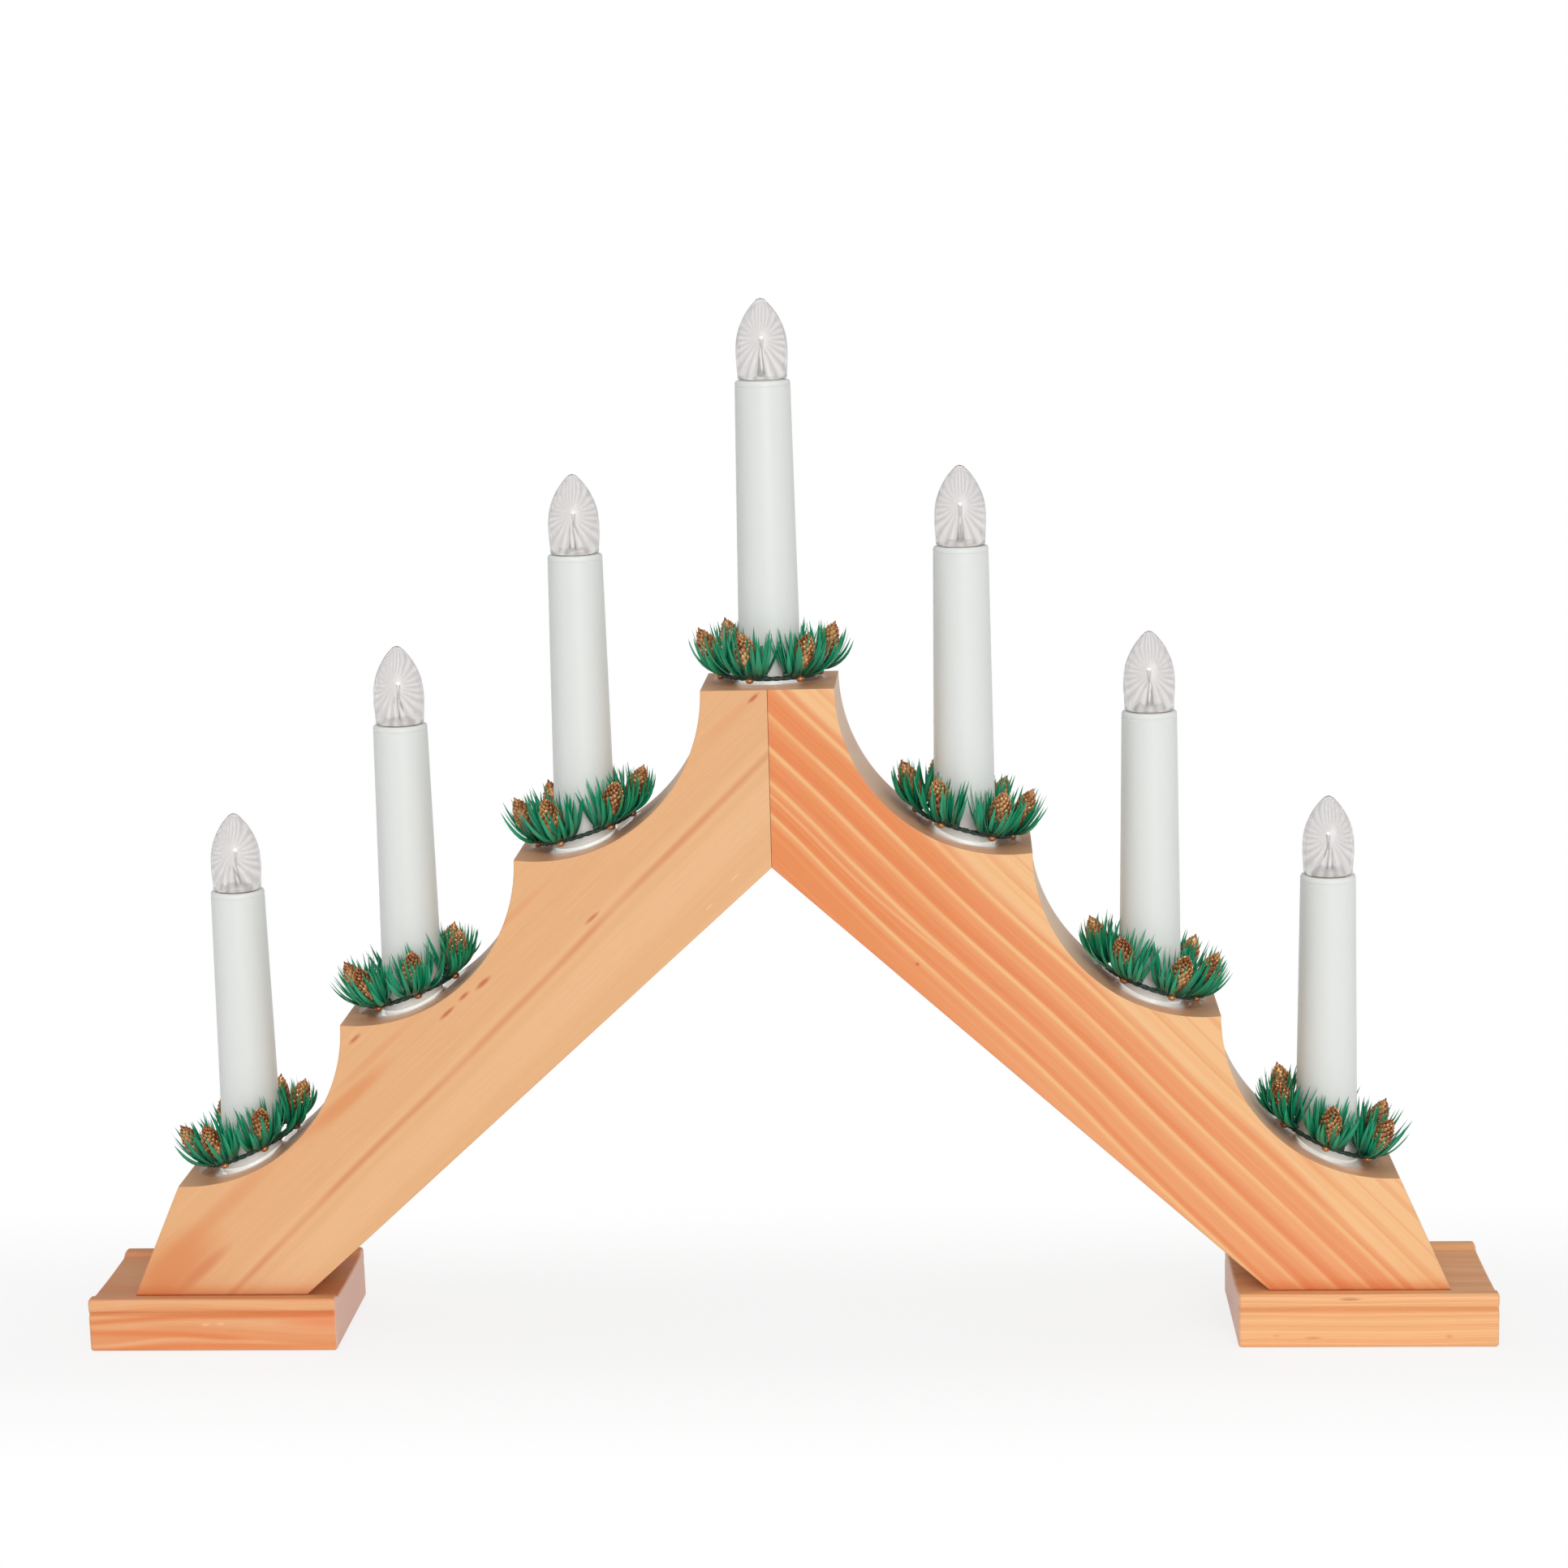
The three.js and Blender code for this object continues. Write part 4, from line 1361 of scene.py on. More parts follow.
@dataclass(frozen=True)
class Candle:
    """A candle: tube, lamp holder, screw cap, flame and drip disc."""

    layout: ArchLayout
    finishes: Finishes
    place: Place
    sides: int = 72
    top_radius: float = 7.65
    base_radius: float = 8.7
    wall: float = 1.2
    thread_pitch: float = 25.4 / 14
    flame_rise: float = 21.9
    spark: float = 11.4
    facet_count: int = 24
    facet_height: float = 0.17
    flame_wall: float = 0.85
    rim_edge: float = 0.9
    bead_drop: float = 1.7
    seat_depth: float = 15.3
    disc_radius: float = 16.0
    disc_thickness: float = 0.8
    disc_rings: int = 12
    disc_segments: int = 96

    @property
    def rim(self) -> float:
        """Height of the tube's top."""
        return self.place.ledge.height + self.layout.tube_rise

    def tube(self) -> None:
        """A tapered tube with a rounded top rim."""
        ledge, top = self.place.ledge.height, self.rim
        foot = ledge - self.layout.socket
        outer, inner = self.top_radius, self.top_radius - self.wall
        edge, lift = self.rim_edge, self.bead_drop
        rim = [(outer - edge + edge * math.cos(a), top - edge + edge * math.sin(a))
               for a in np.linspace(0, math.pi / 2, 8)]
        taper = self.base_radius + (outer - self.base_radius) * (1 - lift / self.layout.tube_rise)
        profile = [(self.base_radius, foot + 0.4), (self.base_radius, ledge),
                   (taper, top - lift - 0.22), (taper - 0.13, top - lift - 0.1),
                   (taper - 0.13, top - lift + 0.1), (taper - 0.01, top - lift + 0.22), *rim,
                   (inner + 0.1, top), (inner, top - 0.15), (self.base_radius - self.wall, ledge),
                   (self.base_radius - self.wall, foot), (self.base_radius - 0.4, foot),
                   (self.base_radius, foot + 0.4)]
        form = lathe(profile, self.sides, self.place.x)
        number = self.place.number
        settle(form.piece(f"candle_{number}_tube", self.finishes.candle), "arch", "candle_plastic",
               f"candle_tube_{number}")

    def thread(self, start: float, height: float, depth: float) -> Waver:
        """A rounded thread above a start height, for lathe().

        Args:
            start: height of its lower end.
            height: its length.
            depth: its depth.
        Returns:
            The change of radii.
        """
        def wave(radii: Array, levels: Array, angles: Array) -> Array:
            """Cuts the thread into one ring.

            Args:
                radii, levels, angles: radii, heights and angles of one ring.
            Returns:
                The new radii.
            """
            turn = levels / self.thread_pitch - angles / (2 * math.pi)
            fade = np.clip(levels - start, 0, 1) * np.clip(start + height - levels, 0, 1)
            return radii - depth * (0.5 - 0.5 * np.cos(2 * math.pi * turn)) * fade
        return wave

    def holder(self) -> None:
        """The cup that holds the screw cap."""
        number, top = self.place.number, self.rim
        high, low = top - 0.6, top - self.layout.holder_depth
        seat = top - self.seat_depth
        profile = [(0, low), (5.6, low), (6.15, low + 0.5), (6.15, high - 0.4), (5.75, high),
                   (5.25, high), (5.0, high - 0.3), (5.0, seat), (2.4, seat), (2.4, seat - 0.6),
                   (0, seat - 0.6)]
        form = lathe(profile, 56, self.place.x)
        settle(form.piece(f"candle_{number}_holder", self.finishes.holder), "arch",
               "holder_plastic", f"lamp_holder_{number}")

    def cap(self) -> None:
        """The threaded cap with its solder contact, and the stem with its filament."""
        number, top, x = self.place.number, self.rim, self.place.x
        base, collar = top - 13, top + 1.3
        levels = np.arange(base + 1.8, top - 1.2, 0.15)
        profile = [(1.9, base), (2.4, base + 0.1), (4.2, base + 1.4), (4.7, base + 1.8)]
        profile += [(4.7, level) for level in levels[1:]]
        profile += [(4.7, top - 1.0), (4.7, top - 0.45), (4.4, top - 0.35), (0, top - 0.35)]
        shell = lathe([(0, base)] + profile, 48, x, wave=self.thread(base + 1.8, 10.0, 0.42))
        settle(shell.piece(f"candle_{number}_cap", self.finishes.brass, 50), f"cap_{number}",
               "cap_brass", f"bulb_cap_{number}")
        plug = lathe([(0, top - 0.34), (4.4, top - 0.34), (4.7, top - 0.1), (4.7, collar - 0.5),
                      (4.2, collar), (0, collar + 0.1)], 48, x)
        settle(plug.piece(f"candle_{number}_plug", self.finishes.plug), f"cap_{number}")
        tip = lathe([(0, base - 2), (1.1, base - 1.9), (1.7, base - 1.3), (1.8, base - 0.6),
                     (1.7, base - 0.02), (0, base - 0.02)], 32, x)
        settle(tip.piece(f"candle_{number}_contact", self.finishes.solder), f"cap_{number}")
        stem = lathe([(0, collar), (1.0, collar + 0.15), (0.8, collar + 0.8), (0.5, collar + 1.8),
                      (0.36, collar + 3.2), (0.44, collar + 3.9), (0.3, collar + 4.4),
                      (0, collar + 4.5)], 24, x)
        settle(stem.piece(f"candle_{number}_stem", self.finishes.stem), f"cap_{number}")
        light = top + self.spark
        wires = Form()
        for way in (-1, 1):
            route = [(x + way * 0.2, 0, collar + 0.1), (x + way * 0.2, 0, light - 2.6),
                     (x + way * 0.38, 0, light - 0.5), (x + way * 0.4, 0, light)]
            route = bend(route, 1.2, 5)
            wires.join(sweep(route, [0.13] * len(route), 8))
        settle(wires.piece(f"candle_{number}_wires", self.finishes.wires), f"cap_{number}")
        turns = np.linspace(0, 1, 49)
        coil = np.column_stack([x - 0.4 + 0.8 * turns, 0.2 * np.cos(turns * 30),
                                light + 0.2 * np.sin(turns * 30)])
        filament = sweep(coil, [0.09] * len(coil), 6)
        settle(filament.piece(f"candle_{number}_filament", self.finishes.filament), f"cap_{number}")

    def flame(self) -> None:
        """A hollow clear flame with a star of fine facets on its front and back."""
        number, base = self.place.number, self.rim + GAP
        sides = 120
        outline = smooth_curve(FLAME_HEIGHTS, FLAME_RADII)
        levels = np.concatenate([np.linspace(0, 21, 64), [21.3, 21.55, 21.75]])
        outer = np.interp(levels, *outline)

        def star(level: Array, angles: Array) -> Array:
            """Facets from -1 to 1 that spread from a middle on the front and on the back.

            Args:
                level: the heights.
                angles: the angles round the axis.
            Returns:
                The relief.
            """
            round_axis = (angles + math.pi) % math.pi - math.pi / 2
            rise, run = level - base - self.spark, 7.0 * np.sin(round_axis)
            away = np.hypot(rise, run)
            fan = np.cos(self.facet_count * np.arctan2(rise, run + 1e-6))
            return fan * np.clip((away - 1.0) / 3, 0, 1)

        def facets(ring: Array, level: Array, angles: Array) -> Array:
            """Raises the facets, which fade out round the sides.

            Args:
                ring, level, angles: radii, heights and angles of one ring.
            Returns:
                The new radii.
            """
            depth = self.facet_height * np.clip(ring / 5, 0, 1)
            return ring + (depth * np.clip((level - base) / 1.5, 0, 1)
                           * np.abs(np.sin(angles)) ** 3 * star(level, angles))

        skin = [(float(r), base + float(h)) for r, h in zip(outer, levels)]
        skin.append((0.0, base + self.flame_rise))
        hollow_levels = np.linspace(1.0, 21.0, 34)
        hollow = np.interp(hollow_levels, *outline) - self.flame_wall
        inward = zip(hollow[::-1], hollow_levels[::-1])
        inner = [(0.0, base + 21.1)] + [(float(max(r, 0.2)), base + float(h)) for r, h in inward]
        outside = lathe(skin, sides, self.place.x, wave=facets)
        form = joined_shell(outside, lathe(inner, sides, self.place.x), sides)
        x, y, z = form.verts[0].T
        # The star value, from 0 at a facet's hollow to 1 at its ridge, carries the painted light
        # and shade of the facets.
        form.values["star"] = [0.5 + 0.5 * star(z, np.arctan2(y, x - self.place.x))]
        settle(form.piece(f"candle_{number}_flame", self.finishes.flame, 60), f"flame_{number}",
               "bulb_clear", f"flame_bulb_{number}")

    def disc(self) -> None:
        """A thin clear disc that follows its scallop, with a slightly lifted rim."""
        place, ledge = self.place, self.place.ledge
        rings, segments = self.disc_rings, self.disc_segments
        inner = self.base_radius + GAP
        reach = np.linspace(inner, self.disc_radius, rings)
        turn = np.linspace(0, 2 * math.pi, segments, endpoint=False)
        grid_r, grid_t = np.meshgrid(reach, turn, indexing="ij")
        local_x, y = grid_r * np.cos(grid_t), grid_r * np.sin(grid_t)
        if place.side == 0:
            floor = np.full_like(local_x, ledge.height + GAP)
        else:
            from_centre = ledge.centre - ledge.candle - place.side * local_x
            floor = ledge.top - np.sqrt((self.layout.scallop - GAP) ** 2 - from_centre**2)
        share = (grid_r - inner) / (self.disc_radius - inner)
        lift = 0.25 * share**3 * (1 + np.sin(3 * grid_t + place.number))
        thick = self.disc_thickness * (1 - 0.45 * share**6)
        low = np.stack([place.x + local_x, y, floor + lift], -1).reshape(-1, 3)
        high = np.stack([place.x + local_x, y, floor + lift + thick], -1).reshape(-1, 3)
        faces = []
        count = rings * segments
        for ring in range(rings - 1):
            for a, b, c, d in band(ring * segments, (ring + 1) * segments, segments):
                faces += [(a, b, c, d), (count + a, count + d, count + c, count + b)]
        for ring in (0, rings - 1):
            faces += band(ring * segments, count + ring * segments, segments)
        upper = np.concatenate([np.zeros(count), (1 - 0.8 * share**7).ravel()])
        # The mirror value is 1 in front of and behind the tube and 0 beyond: it places the tube's
        # painted reflection.
        mirror = np.clip((1.08 - np.abs(local_x) / self.base_radius) / 0.16, 0, 1).ravel()
        form = Form().add(np.concatenate([low, high]), faces, upper=upper,
                          mirror=np.concatenate([mirror, mirror]))
        settle(form.piece(f"candle_{place.number}_disc", self.finishes.disc), "arch",
               "disc_plastic", f"drip_disc_{place.number}")

    def build(self) -> None:
        """Builds every piece of the candle."""
        self.tube()
        self.holder()
        self.cap()
        self.flame()
        self.disc()


def smooth_curve(x: Sequence[float], y: Sequence[float], steps: int = 400) -> tuple[Array, Array]:
    """A dense curve through points, with slopes taken from their neighbours.

    Args:
        x, y: the points.
        steps: number of points on the dense curve.
    Returns:
        The places and the values on the dense curve.
    """
    x, y = np.asarray(x, float), np.asarray(y, float)
    slopes = np.gradient(y, x)
    dense = np.linspace(x[0], x[-1], steps)
    index = np.clip(np.searchsorted(x, dense, side="right") - 1, 0, len(x) - 2)
    width = x[index + 1] - x[index]
    t = (dense - x[index]) / width
    a, b = y[index], y[index + 1]
    ma, mb = slopes[index] * width, slopes[index + 1] * width
    curve = ((2 * t**3 - 3 * t**2 + 1) * a + (t**3 - 2 * t**2 + t) * ma
             + (3 * t**2 - 2 * t**3) * b + (t**3 - t**2) * mb)
    return dense, curve


def joined_shell(shell: Form, cavity: Form, sides: int) -> Form:
    """Closes a hollow form whose skin and cavity end in one open rim.

    Args:
        shell: the skin, from the rim to the tip.
        cavity: the cavity, from the tip to the rim.
        sides: number of segments round both.
    Returns:
        The form.
    """
    verts = np.concatenate([shell.verts[0], cavity.verts[0]])
    faces = shell.faces + [tuple(i + shell.count for i in face) for face in cavity.faces]
    return Form().add(verts, faces + band(0, len(verts) - sides, sides))


def bend(corners: Sequence[Sequence[float]], radius: float, steps: int) -> Array:
    """A route through corners, with each corner bent round.

    Args:
        corners: the corners.
        radius: how far from a corner its bend begins.
        steps: number of steps on a bend.
    Returns:
        The points of the route.
    """
    points = [np.asarray(corners[0], float)]
    for before, corner, after in zip(corners, corners[1:], corners[2:]):
        before, corner, after = (np.asarray(p, float) for p in (before, corner, after))
        to_before, to_after = before - corner, after - corner
        reach = min(radius, np.linalg.norm(to_before) / 2, np.linalg.norm(to_after) / 2)
        start = corner + to_before / np.linalg.norm(to_before) * reach
        end = corner + to_after / np.linalg.norm(to_after) * reach
        for t in np.linspace(0, 1, steps + 1):
            points.append((1 - t) ** 2 * start + 2 * t * (1 - t) * corner + t**2 * end)
    points.append(np.asarray(corners[-1], float))
    return np.array(points)


class Tree(Nodes):
    """A geometry node tree."""

    def __init__(self, name: str, inputs: Sequence[tuple[str, str]]) -> None:
        """Makes the tree.

        Args:
            name: the tree's name.
            inputs: name and type of each input after the geometry.
        """
        super().__init__(bpy.data.node_groups.new(name, "GeometryNodeTree"))
        self.keys = {}
        for label, kind in (("Geometry", "Geometry"), *inputs):
            socket = self.tree.interface.new_socket(name=label, in_out="INPUT",
                                                    socket_type=f"NodeSocket{kind}")
            self.keys[label] = socket.identifier
        self.tree.interface.new_socket(name="Geometry", in_out="OUTPUT",
                                       socket_type="NodeSocketGeometry")
        self.given = self.add("NodeGroupInput").outputs
        self.result = self.add("NodeGroupOutput").inputs

    def step(self, kind: str, settings: Optional[dict[str, str]] = None, **inputs: Input) -> Node:
        """Adds a node, sets its properties, and feeds inputs by name, with _ for spaces.

        Args:
            kind: type of the node.
            settings: its properties.
            inputs: its inputs.
        Returns:
            The node.
        """
        node = self.add(kind, **(settings or {}))
        for key, value in inputs.items():
            socket = next(s for s in node.inputs if s.name == key.replace("_", " ") and s.enabled)
            self.feed(socket, value)
        return node

    def scaled(self, vector: Input, amount: Input) -> Socket:
        """Scales a vector.

        Args:
            vector: the vector.
            amount: the factor.
        Returns:
            The scaled vector.
        """
        node = self.add("ShaderNodeVectorMath", operation="SCALE")
        self.feed(node.inputs[0], vector)
        self.feed(node.inputs["Scale"], amount)
        return node.outputs[0]

    def summed(self, first: Input, second: Input) -> Socket:
        """Adds two vectors.

        Args:
            first, second: the vectors.
        Returns:
            Their sum.
        """
        node = self.add("ShaderNodeVectorMath", operation="ADD")
        self.feed(node.inputs[0], first)
        self.feed(node.inputs[1], second)
        return node.outputs[0]

    def curve(self, value: Input, first: Sequence[float], middle: Sequence[Sequence[float]],
              last: Sequence[float]) -> Socket:
        """Reads a curve through points.

        Args:
            value: what the curve reads.
            first, last: the ends.
            middle: the points between them.
        Returns:
            The curve's value.
        """
        node = self.add("ShaderNodeFloatCurve")
        points = node.mapping.curves[0].points
        points[0].location, points[-1].location = first, last
        for spot in middle:
            points.new(*spot)
        node.mapping.update()
        self.feed(node.inputs["Value"], value)
        return node.outputs[0]

    def grow(self, mesh: Mesh, name: str, **values: Input) -> Mesh:
        """Grows a mesh from another one.

        Args:
            mesh: the mesh that the tree starts from.
            name: the new mesh's name.
            values: the tree's inputs.
        Returns:
            The new mesh.
        """
        obj = linked(name, mesh)
        modifier = obj.modifiers.new("grow", "NODES")
        modifier.node_group = self.tree
        for label, value in values.items():
            modifier[self.keys[label]] = value
        return baked(obj, name)


def needle_tree() -> Tree:
    """Makes the tree that grows a flat tapering needle from each point, bent towards its lean.

    Returns:
        The tree.
    """
    inputs = [("Width", "Float"), ("Thickness", "Float"), ("Seed", "Int"), ("Material", "Material")]
    tree = Tree("needles", inputs)
    line = tree.step("GeometryNodeCurvePrimitiveLine", Start=(0, 0, 0), End=(0, 0, 1))
    line = tree.step("GeometryNodeResampleCurve", Curve=line, Count=8)
    along = tree.step("GeometryNodeSplineParameter").outputs["Factor"]
    line = tree.step("GeometryNodeStoreNamedAttribute", dict(data_type="FLOAT", domain="POINT"),
                     Geometry=line, Name="along", Value=along)
    placed = tree.step("GeometryNodeInstanceOnPoints", Points=tree.given["Geometry"], Instance=line)
    shade = tree.step("FunctionNodeRandomValue", dict(data_type="FLOAT"), Seed=tree.given["Seed"])
    placed = tree.step("GeometryNodeStoreNamedAttribute",
                       dict(data_type="FLOAT", domain="INSTANCE"),
                       Geometry=placed, Name="shade", Value=shade.outputs[1])
    curves = tree.step("GeometryNodeRealizeInstances", Geometry=placed)
    factor, tone, aim, lean = (
        tree.step("GeometryNodeInputNamedAttribute", dict(data_type=kind), Name=name)
        for name, kind in (("along", "FLOAT"), ("shade", "FLOAT"), ("aim", "FLOAT_VECTOR"),
                           ("lean", "FLOAT_VECTOR"))
    )
    lower = tree.vector(0.0, 0.0, tree.math("MULTIPLY", factor, -1.0))
    straight = tree.summed(tree.scaled(aim, factor), lower)
    offset = tree.summed(straight, tree.scaled(lean, tree.math("MULTIPLY", factor, factor)))
    curves = tree.step("GeometryNodeSetPosition", Geometry=curves, Offset=offset)
    turn = tree.math("MULTIPLY", tree.math("SUBTRACT", tone, 0.5), 1.4)
    curves = tree.step("GeometryNodeSetCurveTilt", Curve=curves, Tilt=turn)
    taper = tree.curve(factor, (0, 0.8), ((0.25, 1.0), (0.6, 0.85), (0.85, 0.45)), (1, 0.04))
    blade = tree.step("GeometryNodeCurvePrimitiveQuadrilateral", Width=tree.given["Width"],
                      Height=tree.given["Thickness"])
    mesh = tree.step("GeometryNodeCurveToMesh", Curve=curves, Profile_Curve=blade, Scale=taper,
                     Fill_Caps=True)
    mesh = tree.step("GeometryNodeRealizeInstances", Geometry=mesh)
    mesh = tree.step("GeometryNodeSetMaterial", Geometry=mesh, Material=tree.given["Material"])
    tree.feed(tree.result["Geometry"], mesh)
    return tree


def scale_tree() -> Tree:
    """Makes the tree that sets copies of one scale on the spiral of a pine cone.

    Returns:
        The tree.
    """
    inputs = [("Scales", "Int"), ("Length", "Float"), ("Radius", "Float"), ("Lean", "Float"),
              ("Material", "Material")]
    tree = Tree("cone_scales", inputs)
    spots = tree.step("GeometryNodeMeshLine", Count=tree.given["Scales"], Offset=(0, 0, 0))
    index = tree.add("GeometryNodeInputIndex")
    share = tree.math("DIVIDE", index, tree.given["Scales"])
    turn = tree.math("MULTIPLY", index, math.radians(GOLDEN_ANGLE))
    belly = tree.curve(share, (0, 0.5), ((0.2, 0.85), (0.45, 1.0), (0.78, 0.66)), (1, 0.04))
    reach = tree.math("MULTIPLY", belly, tree.given["Radius"])
    spot = tree.vector(
        tree.math("MULTIPLY", reach, tree.math("COSINE", turn)),
        tree.math("MULTIPLY", reach, tree.math("SINE", turn)),
        tree.math("MULTIPLY", share, tree.given["Length"]),
    )
    spots = tree.step("GeometryNodeSetPosition", Geometry=spots, Position=spot)
    lean = tree.math("MULTIPLY", tree.math("SUBTRACT", 1.0, share), tree.given["Lean"])
    angles = tree.vector(0.0, lean, turn)
    size = tree.math("MULTIPLY_ADD", belly, 0.45, 0.55)
    placed = tree.step("GeometryNodeInstanceOnPoints", Points=spots,
                       Instance=tree.given["Geometry"], Rotation=angles, Scale=size)
    mesh = tree.step("GeometryNodeRealizeInstances", Geometry=placed)
    mesh = tree.step("GeometryNodeSetMaterial", Geometry=mesh, Material=tree.given["Material"])
    tree.feed(tree.result["Geometry"], mesh)
    return tree


@dataclass(frozen=True)
class PineCone:
    """A small pine cone with pointed scales."""

    finishes: Finishes
    length: float = 13.0
    radius: float = 3.0
    scales: int = 110
    scale_length: float = 1.9
    scale_lean: float = 9.0

    def form(self, tree: Tree) -> Form:
        """Makes the cone on its base, pointing up +Z.

        Args:
            tree: the tree that sets the scales.
        Returns:
            The cone.
        """
        plate = Form()
        outline = np.array([(-0.4, 0), (-0.72, 0.8), (-0.55, 1.4), (0, 1.9), (0.55, 1.4),
                            (0.72, 0.8), (0.4, 0)])
        front = [(0.08, y, z) for y, z in outline]
        ridge = [(0.26, 0, 0.9), (0.3, 0, 1.5)]
        back = [(-0.3, y * 0.8, z * 0.9) for y, z in outline]
        verts = np.array(front + ridge + back)
        a, b, n = 7, 8, 9
        faces = [(0, 1, a), (1, 2, b, a), (2, 3, b), (3, 4, b), (4, 5, a, b), (5, 6, a), (6, 0, a)]
        faces = [face[::-1] for face in faces] + [tuple(n + i for i in range(7))]
        faces += [(i, (i + 1) % 7, n + (i + 1) % 7, n + i) for i in range(7)]
        # Share of the painted highlight at each corner of a scale, full at the tip.
        painted_highlight = np.array([0, 0.25, 0.8, 1, 0.8, 0.25, 0, 0.55, 0.95] + [0] * 7)
        plate.add(verts, faces, painted_highlight=painted_highlight)
        sizes = dict(Scales=self.scales, Length=(self.length - self.scale_length) * MM,
                     Radius=(self.radius - 0.3) * MM)
        lean = math.radians(self.scale_lean)
        mesh = tree.grow(plate.mesh("cone_scale"), "cone_scales", Lean=lean,
                         Material=self.finishes.copper, **sizes)
        verts = np.array([v.co for v in mesh.vertices]) / MM
        painted_highlight = np.zeros(len(verts), np.float32)
        mesh.attributes["painted_highlight"].data.foreach_get("value", painted_highlight)
        cone = Form().add(verts, [tuple(p.vertices) for p in mesh.polygons], painted_highlight=painted_highlight)
        core = [(0, -1.5), (0.8, -1.5), (0.9, 0), (1.7, 1.2), (2.2, 3.8), (2.4, 5.4), (1.7, 8.6),
                (0.7, 10.8), (0.2, self.length - 0.5), (0, self.length - 0.3)]
        body = lathe(core, 16)
        cone.add(np.concatenate(body.verts), body.faces, painted_highlight=np.zeros(body.count))
        bpy.data.meshes.remove(mesh)
        return cone


